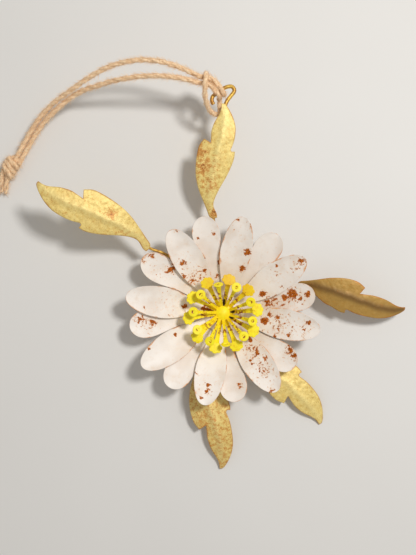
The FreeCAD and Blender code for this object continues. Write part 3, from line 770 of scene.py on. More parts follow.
def build_twine():
    """Both strands of the loop, the hitch on the eye, the knot and its frayed tails."""
    hitch = twine_piece("hitch", [route_line(HITCH)], 31, stray=HITCH_STRAY)
    knot = twine_piece("knot", knot_lines(), 32)
    tails = twine_piece("tails", [route_line(tail) for tail in TAILS], 33, FRAYED_LENGTH)
    for piece, node in ((hitch, "cord_hitch"), (knot, "cord_knot"), (tails, "cord_tails")):
        dress(piece, "jute", SWINGING, node)
    strands = (
        ("upper_strand", "hanger_upper", UPPER_STRAND, 34, [hitch]),
        ("lower_strand", "hanger_lower", LOWER_STRAND, 35, [knot, tails]),
    )
    for name, node, points, seed, others in strands:
        line = route_line(points)
        piece = twine_piece(name, [line], seed)
        dress(piece, "jute", SWINGING, node)
        [value * MM for value in points[0]]


# Petals

HUB_HOLE = 1.6
HUB_SOFT_EDGE = 0.1
HUB_STEPS = 72
PETAL_HUB = 8.4
PETAL_ROOT = 6.6
PETAL_SHARE = 0.9  # of the tin's thickness, so that the petal lies inside the hub's faces
LIFT_SHARE = 0.06
BLADE_SECTIONS = 46
TIP_SECTIONS = 29
PETAL_COLUMNS = 25
TIP_ARC = (3, 87)  # degrees of its quarter turn
RIM_WIDTH = 0.9
TIP_RIM_SHARE = 0.9  # of the distance to the tip, that counts as distance to the edge
RIM_FADE = 4  # how fast the rim's wear grows from the hub out
DENT_SCALE = 0.13
DENT_FADE = 12  # from the hub out
# Floor: height of the hub's underside. Cap: how long the rounded tip is. Wide and neck: half
# the width at its widest and at the root. Rise: height of the tip over the floor. Cup: how much
# the sides turn up. Swell: how late the petal widens. Lengths: shares of its reach.
PETALS = {
    "front": {
        "floor": 3.25, "reach": 40.0, "cap": 14.4, "wide": 6.4,
        "neck": 2.45, "rise": 12.6, "cup": 1.3, "swell": 0.85,
        "bearings": [78.2, 34.0, -9.6, -55.0, -102.0, -147.2, 169.6, 122.5],
        "lengths": [1.02, 1.02, 1.01, 0.965, 0.952, 0.993, 1.015, 1.02],
    },
    "rear": {
        "floor": 2.0, "reach": 38.5, "cap": 6.8, "wide": 5.7,
        "neck": 2.0, "rise": 11.0, "cup": 1.0, "swell": 1.5,
        "bearings": [55.4, 12.4, -36.4, -82.0, -126.8, -172.4, 145.0, 102.0],
        "lengths": [1.037, 1.01, 0.96, 0.955, 0.98, 1.014, 1.055, 1.07],
    },
}
# Worn places: bearing in degrees, distance from the axis, radius and depth of the wear
FRONT_WEAR = [
    (68, 27.4, 1.7, 0.8), (66, 20.7, 1.8, 0.7), (81, 39.0, 1.2, 0.5), (73, 38.4, 1.0, 0.5),
    (34, 39.1, 2.4, 0.5), (26, 18.9, 1.5, 0.9), (25, 27.0, 0.6, 0.7), (42, 29.9, 0.9, 0.5),
    (-10, 17.7, 2.1, 0.75), (-2, 19.9, 1.2, 0.7), (-4, 22.9, 1.1, 0.7), (-24, 23.8, 1.1, 0.7),
    (-18, 28.8, 1.1, 0.7), (-6, 35.4, 1.3, 0.7), (-11, 34.3, 0.8, 0.7), (-49, 21.5, 2.8, 0.48),
    (-59, 23.3, 2.0, 0.45), (-55, 28.4, 2.4, 0.45), (-44, 16.1, 1.6, 0.6), (-46, 25.3, 2.2, 0.44),
    (-49, 33.7, 1.0, 0.5), (-58, 37.3, 1.3, 0.5), (-102, 30.3, 1.1, 0.7), (-102, 32.7, 1.3, 0.7),
    (-105, 35.4, 1.0, 0.7), (-114, 27.1, 0.9, 0.6), (-156, 21.8, 1.0, 0.8),
    (-155, 33.8, 1.0, 0.6), (-177, 22.2, 1.3, 0.4), (170, 16.2, 1.7, 0.6), (175, 32.8, 0.8, 0.4),
    (127, 27.0, 1.5, 0.6), (130, 26.8, 1.2, 0.6), (136, 22.4, 1.5, 0.55), (133, 18.6, 1.7, 0.6),
    (113, 20.0, 1.3, 0.6), (107, 24.5, 0.8, 0.6), (119, 39.5, 1.1, 0.5), (148, 19.4, 1.5, 0.6),
]
REAR_WEAR = [
    (16, 30.2, 2.7, 0.75), (13, 36.2, 1.6, 0.8), (11, 33.0, 1.0, 0.75), (14, 26.8, 1.7, 0.8),
    (8, 25.6, 1.0, 0.7), (13, 19.5, 2.1, 0.6), (-28, 31.3, 2.8, 0.5), (-30, 34.5, 1.9, 0.5),
    (-77, 30.7, 1.4, 0.6), (-176, 34.4, 2.8, 0.5), (-172, 29.8, 2.4, 0.5), (139, 28.5, 2.4, 0.6),
    (144, 29.2, 1.2, 0.6), (141, 38.2, 1.8, 0.5), (146, 39.5, 1.4, 0.5), (97, 33.7, 1.0, 0.7),
    (108, 33.2, 0.6, 0.7), (94, 21.4, 1.0, 0.6), (98, 15.8, 1.3, 0.6),
]
HUB_WEAR = [(-161, 6.6, 1.8, 0.7), (168, 8.1, 1.5, 0.7), (9, 7.3, 1.8, 0.7)]
# Wide places with fine specks
SPECKLED = [
    (-10.4, 24.0, 7.5, 0.3), (-10.4, 34.0, 5.5, 0.26), (-52, 20.0, 5.5, 0.36),
    (-54, 28.5, 5.0, 0.34), (-57, 35.5, 3.5, 0.2), (12.4, 21.0, 4.5, 0.4), (13, 31.0, 5.5, 0.34),
    (128, 19.0, 6.0, 0.32), (129, 27.0, 4.5, 0.26), (32.8, 36.5, 4.0, 0.3), (36, 28.0, 4.0, 0.2),
    (79, 34.0, 6.0, 0.16), (170, 24.0, 7.0, 0.14), (-30, 33.0, 4.0, 0.34), (-174, 33.0, 5.0, 0.3),
    (-102, 31.0, 5.0, 0.2), (146, 32.0, 6.0, 0.16), (0, 0, 9.0, 0.42),
]
# Painted shadows in the deep gaps between the spokes by the hub: bearing, distance from the axis,
# radius and depth
SHADOW_PITS = [(88, 5.2, 1.2, 1.0), (86, 4.2, 1.1, 1.0), (10, 4.4, 1.0, 1.0), (-24, 4.3, 1.0, 1.0)]


def worn(points, table):
    """How worn each point is, from a table of worn places."""
    level = np.zeros(len(points))
    for bearing, distance, radius, depth in table:
        angle = math.radians(bearing)
        x, y = distance * math.cos(angle), distance * math.sin(angle)
        away = np.hypot(points[:, 0] - x, points[:, 1] - y)
        level = np.maximum(level, depth * np.exp(-((away / radius) ** 2)))
    return level


def petal_source(shape):
    """One petal along +X: a cupped, rising blade with a rounded rim."""
    reach, cap, wide, neck = (shape[word] for word in ("reach", "cap", "wide", "neck"))
    widest = reach - cap
    sections = []
    for share in np.linspace(0, 1, BLADE_SECTIONS):
        radius = PETAL_ROOT + share * (widest - PETAL_ROOT)
        along = max(0, (radius - PETAL_HUB) / (widest - PETAL_HUB))
        bulge = math.sin(math.pi / 2 * along ** shape["swell"]) ** 2
        sections.append((radius, neck + (wide - neck) * bulge))
    for degrees in np.linspace(*TIP_ARC, TIP_SECTIONS):
        angle = math.radians(degrees)
        sections.append((widest + cap * math.sin(angle), wide * math.cos(angle)))
    thin = TIN * PETAL_SHARE
    rows = []
    rims = []
    for radius, half in sections:
        out = max(0, (radius - PETAL_HUB) / (reach - PETAL_HUB))
        lift = shape["rise"] * out * out / (out + LIFT_SHARE) * (1 + LIFT_SHARE)
        row = []
        for across in np.linspace(-1, 1, PETAL_COLUMNS):
            cup = shape["cup"] * across * across * (half / wide) * math.sqrt(out)
            row.append((radius, half * across, (TIN - thin) / 2 + lift + cup))
            edge = min(half * (1 - abs(across)), (reach - radius) * TIP_RIM_SHARE)
            rims.append(math.exp(-edge / RIM_WIDTH) * min(1, out * RIM_FADE))
        rows.append(row)
    solid, faces = grid_sheet(rows, thin)
    return new_object("petal", solid, faces, rim=both_sides(rims, solid, 1))


def hub_disc(radius, floor):
    """The flat ring of tin in the middle of a stamping, with a soft edge."""
    top = floor + TIN
    outline = [
        (HUB_HOLE, floor),
        (radius - HUB_SOFT_EDGE, floor),
        (radius, floor + HUB_SOFT_EDGE),
        (radius, top - HUB_SOFT_EDGE),
        (radius - HUB_SOFT_EDGE, top),
        (HUB_HOLE, top),
    ]
    size = len(outline)
    points = []
    faces = []
    for step in range(HUB_STEPS):
        angle = step * 2 * math.pi / HUB_STEPS
        points += [(x * math.cos(angle), x * math.sin(angle), height) for x, height in outline]
        near, far = step * size, (step + 1) % HUB_STEPS * size
        for corner in range(size):
            after = (corner + 1) % size
            faces.append((near + corner, far + corner, far + after, near + after))
    return new_object("disc", points, faces)


def build_petals():
    """Both layers of petals, each a hub with eight petals."""
    deep = bpy.context.scene.tin_flower.dent_depth / MM
    paint = material_of("petal_paint")
    for kind, wear in (("rear", REAR_WEAR), ("front", FRONT_WEAR)):
        shape = PETALS[kind]
        floor = shape["floor"]
        turns = [(0, 0, math.radians(bearing)) for bearing in shape["bearings"]]
        grows = [(length, 1, 1) for length in shape["lengths"]]
        places = [(0, 0, floor)] * len(turns)
        blades = set_down("blades", places, turns, grows, petal_source(shape), paint)
        piece = joined(f"{kind}_petals_painted", [blades, hub_disc(PETAL_HUB, floor)])
        smooth(piece)
        points = points_of(piece)
        out = np.clip((np.hypot(points[:, 0], points[:, 1]) - PETAL_HUB) / DENT_FADE, 0, 1)
        flat = points[:, :2] * DENT_SCALE
        dents = [noise.noise(Vector((x, y, floor))) for x, y in flat]
        points[:, 2] += deep * np.array(dents) * out
        move_points(piece, points)
        write(piece, "wear", np.maximum(worn(points, wear + HUB_WEAR), worn(points, SPECKLED)))
        # Painted shadow in the gaps by the hub.
        write(piece, "pit", worn(points, SHADOW_PITS))
        dress(piece, "petal_paint", BODY, f"{kind}_petals")


# Stamens

# Spoke: its width. Tilts: degrees that each head leans out from level.
STAMENS = {
    "outer": {
        "floor": 5.2, "hub": 4.0, "reach": 14.4, "rise": 8.0, "spoke": 1.8,
        "bearings": [117.2, 80.3, 43.2, 6.6, -29.1, -67.0, -102.6, -138.3, -173.2, 151.9],
        "tilts": [-8, 6, -12, 0, -6, 8, -10, 4, -4, -14],
    },
    "inner": {
        "floor": 6.45, "hub": 3.0, "reach": 12.3, "rise": 10.8, "spoke": 1.3,
        "bearings": [99.6, 64.1, 24.0, -13.0, -47.0, -84.9, -116.5, -149.2, 175.3, 138.8],
        "tilts": [66, 8, -12, 14, -6, -68, 10, -14, 6, -10],
    },
}
SPOKE_SHARE = 0.8  # of the tin's thickness, so that the spoke lies inside the hub and head
SPOKE_SECTIONS = 25
SPOKE_COLUMNS = 7
SPOKE_CREASE = 0.22
CREASE_PACE = 1.1  # more than 1, so that it ends before the head
SPOKE_EASE = 0.035
# Half width along a spoke, as shares: at its root, gained evenly, gained at the head and root
SPOKE_WIDTHS = (0.62, 0.35, 1.1, 0.4)
LOBE_COUNT = 7
LOBE_DEPTH = 0.2
LOBED_CENTRE = 0.12
LOBED_HEAD = (2.3, 2.8)
ROUND_HEAD = 1.9
HEAD_DOME = 0.1
HEAD_BOW = 1.4  # radians of a wave from the middle to the edge
HEAD_RINGS = 11
HEAD_SIDES = 56
DIMPLE_DEPTH = 0.3
DIMPLE_SHARE = 0.33
DIMPLE_RUST = (0.75, 0.9)  # its radius and depth
LOBED_HEAD_RUST = 0.2
SPOKE_RUST = (7.5, 3.5, 0.46)  # its distance from the axis, reach and depth
FOLD_SHADE = (5, 0.4)  # how far down it grows, and its depth
# Painted shade on the outer heads about this bearing, which face away from the light.
HEAD_SHADE = (78, 52, 0.65)  # bearing, reach in degrees and depth of the warmer heads' shade
HEAD_SHADE_START = (9, 3)  # its distance from the axis, and how far it fades in


def spoke_source(shape):
    """One strip along +X, creased along its middle, widening to its head."""
    thin = TIN * SPOKE_SHARE
    foot, reach, wide = (shape[word] for word in ("hub", "reach", "spoke"))
    base, even, head, root = SPOKE_WIDTHS
    rows = []
    for share in np.linspace(0, 1, SPOKE_SECTIONS):
        radius = foot - wide + share * (reach - foot + wide)
        part = min(1, max(0, (radius - foot) / (reach - wide / 2 - foot)))
        soft = part + SPOKE_EASE * math.sin(2 * math.pi * part)
        height = (TIN - thin) / 2 + shape["rise"] * min(1, max(0, soft))
        half = wide / 2 * (base + even * share + head * share**7 + root * (1 - share) ** 6)
        fold = SPOKE_CREASE * math.sin(math.pi * min(1, share * CREASE_PACE))
        columns = np.linspace(-1, 1, SPOKE_COLUMNS)
        rows.append([(radius, half * across, height + fold * abs(across)) for across in columns])
    return new_object("spoke", *grid_sheet(rows, thin))


def lobed_point(share, angle):
    """A point of a lobed, domed head."""
    notch = LOBE_DEPTH * (1 - abs(math.cos(LOBE_COUNT * angle / 2)) ** 0.5)
    wave = 1 - share**3 * notch
    x, y = (size * share * wave for size in LOBED_HEAD)
    return x * math.cos(angle), y * math.sin(angle), HEAD_DOME * (1 - share * share)


def round_point(share, angle):
    """A point of a round head with a dimple."""
    dimple = DIMPLE_DEPTH * math.exp(-((share / DIMPLE_SHARE) ** 4))
    reach = ROUND_HEAD * share
    height = HEAD_DOME * math.cos(share * HEAD_BOW) - dimple
    return reach * math.cos(angle), reach * math.sin(angle), height


def head_source(kind):
    """A stamen's head, centred and lying level: lobed and domed, or round and dimpled."""
    place = lobed_point if kind == "outer" else round_point
    points = [(0, 0, LOBED_CENTRE if kind == "outer" else HEAD_DOME - DIMPLE_DEPTH)]
    for ring in range(1, HEAD_RINGS + 1):
        for side in range(HEAD_SIDES):
            points.append(place(ring / HEAD_RINGS, side * 2 * math.pi / HEAD_SIDES))
    faces = []
    for side in range(HEAD_SIDES):
        after = (side + 1) % HEAD_SIDES
        faces.append((0, 1 + side, 1 + after))
        for ring in range(HEAD_RINGS - 1):
            first = 1 + ring * HEAD_SIDES
            second = first + HEAD_SIDES
            faces.append((first + side, second + side, second + after, first + after))
    loop = list(range(len(points) - HEAD_SIDES, len(points)))
    solid, faces = thick_sheet(np.array(points) - np.array([0, 0, TIN / 2]), faces, loop, TIN)
    wear = np.full(len(solid), LOBED_HEAD_RUST)
    if kind == "inner":
        radius, depth = DIMPLE_RUST
        wear = depth * np.exp(-((np.hypot(solid[:, 0], solid[:, 1]) / radius) ** 2))
    return new_object("head", solid, faces, wear=wear)


def stamen_wear(piece, kind, shape):
    """Writes rust along the spokes, painted shade in orange low in the folds and on the heads
    that face away from the light, and painted shadow as dark spots in the gaps at the hub.
    """
    points = points_of(piece)
    wear = np.zeros(len(points))
    piece.data.attributes["wear"].data.foreach_get("value", wear)
    reach = np.hypot(points[:, 0], points[:, 1])
    distance, width, depth = SPOKE_RUST
    wear = np.maximum(wear, depth * np.exp(-(((reach - distance) / width) ** 2)))
    # Painted shade, deeper lower down the spokes toward the hub.
    down, depth = FOLD_SHADE
    middle = shape["floor"] + shape["rise"] * 0.5
    shade = depth * np.clip((middle - points[:, 2]) / down, 0, 1)
    pit = np.zeros(len(points))
    if kind == "outer":
        angle = np.degrees(np.arctan2(points[:, 1], points[:, 0]))
        # Painted shade on the heads that face away from the light.
        bearing, width, depth = HEAD_SHADE
        start, fade = HEAD_SHADE_START
        head_shade = depth * np.exp(-(((angle - bearing) / width) ** 4))
        shade = np.maximum(shade, head_shade * np.clip((reach - start) / fade, 0, 1))
        # Painted shadow in the gaps by the hub.
        pit = worn(points, SHADOW_PITS)
    write(piece, "wear", wear)
    write(piece, "shade", shade)
    write(piece, "pit", pit)


def build_stamens():
    """Both rings of stamens: spokes on a hub, with their heads."""
    paint = material_of("stamen_paint")
    for kind, shape in STAMENS.items():
        floor, reach = shape["floor"], shape["reach"]
        level = floor + shape["rise"] + TIN / 2
        rays = [math.radians(bearing) for bearing in shape["bearings"]]
        even = [(1, 1, 1)] * len(rays)
        places = [(0, 0, floor)] * len(rays)
        turns = [(0, 0, ray) for ray in rays]
        spokes = set_down("spokes", places, turns, even, spoke_source(shape), paint)
        places = [(reach * math.cos(ray), reach * math.sin(ray), level) for ray in rays]
        turns = [(0, math.radians(tilt), ray) for ray, tilt in zip(rays, shape["tilts"])]
        heads = set_down("heads", places, turns, even, head_source(kind), paint)
        disc = hub_disc(shape["hub"], floor)
        piece = joined(f"{kind}_stamens_painted", [spokes, heads, disc])
        smooth(piece)
        stamen_wear(piece, kind, shape)
        dress(piece, "stamen_paint", BODY, f"{kind}_stamens")


# Leaves

LEAF_OUTLINE_SHARES = [
    (1.0, 0.0), (0.956, 0.0), (0.911, 0.012), (0.831, 0.052), (0.749, 0.074), (0.687, 0.074),
    (0.633, 0.072), (0.666, 0.135), (0.607, 0.17), (0.536, 0.182), (0.45, 0.184), (0.357, 0.177),
    (0.255, 0.154), (0.161, 0.117), (0.078, 0.082), (0.012, 0.054), (-0.005, 0.02),
    (0.007, -0.009), (0.041, -0.004), (0.114, 0.028), (0.186, 0.018), (0.275, -0.023),
    (0.371, -0.079), (0.459, -0.12), (0.512, -0.133), (0.543, -0.133), (0.542, -0.107),
    (0.558, -0.095), (0.628, -0.117), (0.708, -0.128), (0.797, -0.127), (0.882, -0.103),
    (0.956, -0.062), (0.997, -0.026),
]
LEAF_CORNERS = [0, 6, 7, 16, 17, 24, 25, 27]
FIRST_TOOTH_EDGE_POINT = 17
VEIN_SHARES = [
    (0.0, 0.02), (0.15, 0.06), (0.3, 0.055), (0.45, 0.035), (0.6, 0.01), (0.75, -0.02),
    (0.9, -0.03), (1.0, -0.01),
]
LEAF_CAMBER = 1.4  # how far the edges hang below the middle
LEAF_STEP = 0.55  # between points of its grid
LEAF_ROW_SHARE = 0.87  # of the step, from one row to the next
LEAF_EDGE_SHARE = 0.55  # of the step, between the grid and the outline
LEAF_REACH_SHARES = ((-0.02, 1.02), (-0.16, 0.21))  # of the grid, along and across
OUTLINE_PIECES = 8
VEIN_HEIGHT = 0.6
VEIN_WIDTH = 1.6
SIDE_VEIN_HEIGHT = 0.07
SIDE_VEIN_SPACING = 5.2
SIDE_VEIN_SLANT = 0.9
SIDE_VEIN_FADE = 3
BEATEN = ((0.45, 0.16), (1.3, 0.06))  # scale and depth of the broad and the fine dents
BEATEN_FADE = 1.2  # from the edge in
LEAF_RIM_WIDTH = 0.8
HALF_WIDTH_SHARE = 0.2
NOTCH_SHARES = (0.63, 0.55)
NOTCH_REACH_SHARE = 0.2
# Root: bearing, distance from the axis and height. Turns: bearing, pitch and roll. Notch: how far
# along the notch and the tooth are snipped past the outline's own. Fuller: where one edge is cut
# fuller, how far that fades out and how much, more than zero on the edge with the notch and less
# on the edge with the tooth. Brown and shade: how browned, and on the right leaf mostly painted
# shade, as it faces away from the light. Wear: how much rust.
LEAVES = {
    "upper_left": {
        "mirrored": False, "length": 52.1, "arch": 4.0, "age": 0.05, "wear": 0.14,
        "root": (140.1, 41.1, 12.0), "turns": (147.5, 15.6, 0),
        "notch": (0.015, 0.014), "fuller": (0.4, 0.2, 0),
    },
    "top": {
        "mirrored": True, "length": 46.9, "arch": 3.0, "age": 0.0, "wear": 0.16,
        "root": (94.3, 40.2, 9.0), "turns": (87.0, 13.6, 0),
        "notch": (0.03, 0.055), "fuller": (0.4, 0.2, 0.014),
    },
    "right": {
        "mirrored": True, "length": 46.1, "arch": 5.0, "age": 0.8, "wear": 0.12,
        "root": (19.6, 33.5, 7.0), "turns": (-10.9, 1.2, 16),
        "notch": (-0.085, -0.085), "fuller": (0.235, 0.13, -0.064),
    },
    "lower_right": {
        "mirrored": False, "length": 51.6, "arch": 4.2, "age": 0.0, "wear": 0.1,
        "root": (-29.1, 13.2, 2.2), "turns": (-54.1, -2.0, 0),
        "notch": (0, 0), "fuller": (0.4, 0.2, 0),
    },
    "bottom": {
        "mirrored": False, "length": 51.2, "arch": 4.6, "age": 0.1, "wear": 0.3,
        "root": (-110.7, 17.3, 2.6), "turns": (-84.4, -2.0, 0),
        "notch": (-0.03, -0.045), "fuller": (0.4, 0.2, 0.014),
    },
}
LEAF_WEAR = [
    (97.5, 61.2, 4.5, 0.34), (98.0, 67.0, 3.5, 0.34), (96.5, 54.0, 4.0, 0.24),
    (94.5, 42.0, 2.5, 0.42), (137.9, 60.7, 2.4, 0.36), (140.5, 52.0, 3.0, 0.16),
]


def vein_line(along):
    """Where the vein runs, as shares of the leaf's length to the right."""
    along = np.clip(along, 0, 1)
    result = np.full(len(along), VEIN_SHARES[-1][1], float)
    for (start, before), (stop, after) in reversed(list(zip(VEIN_SHARES, VEIN_SHARES[1:]))):
        part = np.clip((along - start) / (stop - start), 0, 1)
        ease = part * part * (3 - 2 * part)
        result = np.where(along <= stop, before + (after - before) * ease, result)
    return result


def leaf_height(along, out, length, arch):
    """The height of a leaf's underside over its chord."""
    off = out - vein_line(along)
    fade = np.sqrt(np.sin(math.pi * np.clip(along, 0, 1)).clip(0, 1))
    camber = LEAF_CAMBER * (off / HALF_WIDTH_SHARE) ** 2
    vein = VEIN_HEIGHT * np.exp(-((off * length / VEIN_WIDTH) ** 2)) * fade
    return arch * 4 * along * (1 - along) - camber + vein


def smooth_stretch(points):
    """Points on a smooth line through these, without the last."""
    points = np.array(points, float)
    shares = np.arange(OUTLINE_PIECES) / OUTLINE_PIECES
    if len(points) == 2:
        return [tuple(points[0] + (points[1] - points[0]) * share) for share in shares]
    ends = np.vstack([points[0] * 2 - points[1], points, points[-1] * 2 - points[-2]])
    made = []
    for index in range(1, len(ends) - 2):
        before, start, stop, after = ends[index - 1 : index + 3]
        for share in shares:
            slope = (stop - before) * share
            bend = (2 * before - 5 * start + 4 * stop - after) * share * share
            twist = (3 * start - before - 3 * stop + after) * share**3
            made.append(tuple(0.5 * (2 * start + slope + bend + twist)))
    return made


def notch_shift(leaf, along, out):
    """How far a point of the outline moves toward the tip, as a share of the leaf's length."""
    edge = 0 if out > 0 else 1
    away = (along - NOTCH_SHARES[edge]) / NOTCH_REACH_SHARE
    return leaf["notch"][edge] * math.exp(-(away**2))


def fuller(leaf, place, along):
    """How far out a point of the outline moves, as a share of the leaf's length."""
    where, reach, amount = leaf["fuller"]
    tooth_edge = place >= FIRST_TOOTH_EDGE_POINT
    if tooth_edge != (amount < 0):
        return 0
    return amount * math.exp(-(((along - where) / reach) ** 2))


def leaf_outline(leaf):
    """A leaf's whole outline in mm, closely spaced."""
    stops = LEAF_CORNERS + [len(LEAF_OUTLINE_SHARES)]
    ring = []
    for place, (along, out) in enumerate(LEAF_OUTLINE_SHARES):
        moved = along + notch_shift(leaf, along, out)
        ring.append((moved, out + fuller(leaf, place, along)))
    ring.append(ring[0])
    made = []
    for first, last in zip(stops, stops[1:]):
        made.extend(smooth_stretch(ring[first : last + 1]))
    return [(along * leaf["length"], out * leaf["length"]) for along, out in made]


def inside_outline(points, outline):
    """Which points lie inside the outline, and how far each is from it."""
    ring = np.array(outline)
    inside = np.zeros(len(points), bool)
    nearest = np.full(len(points), np.inf)
    for start, stop in zip(ring, np.roll(ring, -1, axis=0)):
        run = stop - start
        if run[1]:
            spans = (start[1] > points[:, 1]) != (stop[1] > points[:, 1])
            cross = run[0] * (points[:, 1] - start[1]) / run[1] + start[0]
            inside ^= spans & (points[:, 0] < cross)
        share = ((points - start) @ run / max(run @ run, 1e-12)).clip(0, 1)
        away = np.linalg.norm(points - start - share[:, None] * run, axis=1)
        nearest = np.minimum(nearest, away)
    return inside, nearest


def flat_leaf(outline, length):
    """A leaf cut from flat tin: even triangles inside its outline, whose points come first."""
    (back, front), (low, high) = LEAF_REACH_SHARES
    rows = np.arange(back * length, front * length, LEAF_STEP)
    columns = np.arange(low * length, high * length, LEAF_STEP * LEAF_ROW_SHARE)
    shifts = [index % 2 * LEAF_STEP / 2 for index in range(len(columns))]
    grid = np.array([(x + shift, y) for shift, y in zip(shifts, columns) for x in rows])
    within, away = inside_outline(grid, outline)
    grid = grid[within & (away > LEAF_STEP * LEAF_EDGE_SHARE)]
    flat = [Vector(point) for point in outline] + [Vector(point) for point in grid]
    ring = list(range(len(outline)))
    points, _, faces, _, _, _ = delaunay_2d_cdt(flat, [], [ring], 1, 1e-6)
    return np.array([tuple(point) for point in points]), faces, ring


def signed_area(points):
    """Twice the area seen from above, negative if the ring runs clockwise."""
    x, y = points[:, 0], points[:, 1]
    return float(np.dot(x, np.roll(y, -1)) - np.dot(y, np.roll(x, -1)))


def leaf_mesh(name, leaf):
    """A leaf in its place: outline, vein, side veins, arch and beaten dents."""
    length = leaf["length"]
    outline = leaf_outline(leaf)
    flat, faces, ring = flat_leaf(outline, length)
    _, away = inside_outline(flat, outline)
    along, out = flat[:, 0] / length, flat[:, 1] / length
    rise = leaf_height(along, out, length, leaf["arch"])
    off = (out - vein_line(along)) * length
    slanted = along * length + np.abs(off) * SIDE_VEIN_SLANT
    ribs = np.clip(np.cos(slanted * 2 * math.pi / SIDE_VEIN_SPACING), 0, 1) ** 3
    ribs *= SIDE_VEIN_HEIGHT * np.clip(np.abs(off) / SIDE_VEIN_FADE, 0, 1)
    bearing, distance, height = leaf["root"]
    dents = np.zeros(len(flat))
    for scale, depth in BEATEN:
        dents += [depth * noise.noise(Vector((x, y, bearing))) for x, y in flat * scale]
    soft = np.clip(away / BEATEN_FADE, 0, 1)
    side = 1 if leaf["mirrored"] else -1
    low = np.stack([flat[:, 0], side * flat[:, 1], rise + (ribs + dents) * soft], axis=1)
    loop = ring[::-1] if signed_area(low[ring]) < 0 else ring
    faces = [face if signed_area(low[list(face)]) > 0 else face[::-1] for face in faces]
    solid, faces = thick_sheet(low, faces, loop, TIN)
    rim = both_sides(np.exp(-away / LEAF_RIM_WIDTH), solid, 1)
    vein = both_sides(np.exp(-((off / VEIN_WIDTH) ** 2)), solid, 0)
    piece = new_object(f"leaf_{name}_gilt", solid, faces, rim=rim, vein=vein)
    ray = math.radians(bearing)
    place = (distance * math.cos(ray), distance * math.sin(ray), height)
    turn, pitch, roll = (math.radians(degrees) for degrees in leaf["turns"])
    matrix = Matrix.Translation(Vector(place) * MM) @ Matrix.Rotation(turn, 4, "Z")
    matrix = matrix @ Matrix.Rotation(-pitch, 4, "Y") @ Matrix.Rotation(roll, 4, "X")
    piece.data.transform(matrix)
    return piece


def build_leaves():
    """The five leaves."""
    for name, leaf in LEAVES.items():
        piece = leaf_mesh(name, leaf)
        smooth(piece)
        points = points_of(piece)
        write(piece, "wear", leaf["wear"] + worn(points, LEAF_WEAR))
        write(piece, "age", np.full(len(points), leaf["age"]))
        dress(piece, "leaf_gilt", BODY, f"leaf_{name}")


# The frame's own pieces, and the stage

METALWORK = {
    "bare_tin": ["back_plate"],
    "petal_paint": ["petal_washer"],
    "stamen_paint": ["centre_rivet", "stamen_washer", "stamen_collar"],
    "solder": ["hub_solder", "leaf_solder"],
    "wire_gilt": ["hanging_eye", *(f"stem_{name}" for name in LEAVES)],
}
CAMERA_PLACE = (-0.00624, 0.01509, 0.330)
CAMERA_HALF_FIELD = 0.3633  # tangent of half the angle of view, upright
FLOOR_HALF_WIDTH = 3000
FLOOR_LEVEL = -0.05
LAMP_PLACE = (0.22, 0.20, 0.55)
LAMP_TARGET = (0, 0.01, 0)
LAMP_SIZE = 0.11
LAMP_POWER = 2.4
SKY_COLOUR = (1.0, 0.985, 0.96, 1)
SKY_STRENGTH = 0.4


def build_metalwork():
    """Materials for the pieces that stay as the frame has them."""
    for slot, names in METALWORK.items():
        for name in names:
            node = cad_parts[name]
            node.data.materials.clear()
            node.data.materials.append(material_of(slot))


def build_camera():
    """The camera straight above the flower, at the photograph's distance and field."""
    data = bpy.data.cameras.new("camera")
    camera = bpy.data.objects.new("camera", data)
    bpy.context.scene.collection.objects.link(camera)
    camera.location = CAMERA_PLACE
    data.sensor_fit = "VERTICAL"
    data.angle_y = 2 * math.atan(CAMERA_HALF_FIELD)
    data.clip_start = 0.01
    bpy.context.scene.camera = camera


def build_stage():
    """A pale floor, one broad soft lamp and a pale sky."""
    scene = bpy.context.scene
    scene.view_settings.view_transform = "Standard"
    corners = [(-1, -1), (1, -1), (1, 1), (-1, 1)]
    corners = [(x * FLOOR_HALF_WIDTH, y * FLOOR_HALF_WIDTH, FLOOR_LEVEL) for x, y in corners]
    floor = new_object("floor", corners, [(0, 1, 2, 3)])
    floor.data.materials.append(floor_paint())
    lamp = bpy.data.lights.new("key", "AREA")
    lamp.shape = "DISK"
    lamp.size = LAMP_SIZE
    lamp.energy = LAMP_POWER
    key = bpy.data.objects.new("key", lamp)
    scene.collection.objects.link(key)
    key.location = LAMP_PLACE
    aim = Vector(LAMP_TARGET) - key.location
    key.rotation_euler = aim.to_track_quat("-Z", "Y").to_euler()
    world = bpy.data.worlds.new("sky")
    world.use_nodes = True
    sky = world.node_tree.nodes["Background"].inputs
    sky["Color"].default_value = SKY_COLOUR
    sky["Strength"].default_value = SKY_STRENGTH
    scene.world = world


# The add-on


def colour_setting(label, told, default):
    """A colour that the user can change."""
    return bpy.props.FloatVectorProperty(
        name=label, description=told, default=default, subtype="COLOR", size=4, min=0, max=1
    )


class TinFlowerSettings(bpy.types.PropertyGroup):
    """Colours and sizes that can be set before the pieces are built."""

    petal_colour: colour_setting("Petals", "Clean paint of the petals", srgb(244, 235, 225))
    stamen_colour: colour_setting("Stamens", "Clean paint of the stamens", srgb(255, 240, 24))
    gilt_colour: colour_setting("Gilt", "Clean gilt of the leaves", srgb(247, 221, 138))
    rust_colour: colour_setting("Rust", "Rust in the petals' chipped paint", srgb(134, 62, 12))
    jute_colour: colour_setting("Jute", "Palest fibres of the twine", srgb(255, 230, 192))
    dent_depth: bpy.props.FloatProperty(
        name="Dents",
        description="How deep the petals are dented",
        default=0.28 * MM,
        unit="LENGTH",
        precision=5,
    )
    lay_length: bpy.props.FloatProperty(
        name="Lay",
        description="Length of one full twist of the twine",
        default=8.4 * MM,
        min=2 * MM,
        unit="LENGTH",
        precision=5,
    )
    fibre_density: bpy.props.FloatProperty(
        name="Fibres",
        description="Loose fibres on each square millimetre of twine",
        default=2.8,
        min=0,
    )
    fibre_spread: bpy.props.FloatProperty(
        name="Fibre Spread",
        description="How far the loose fibres turn away from the twine",
        default=0.8,
        min=0,
        subtype="ANGLE",
    )


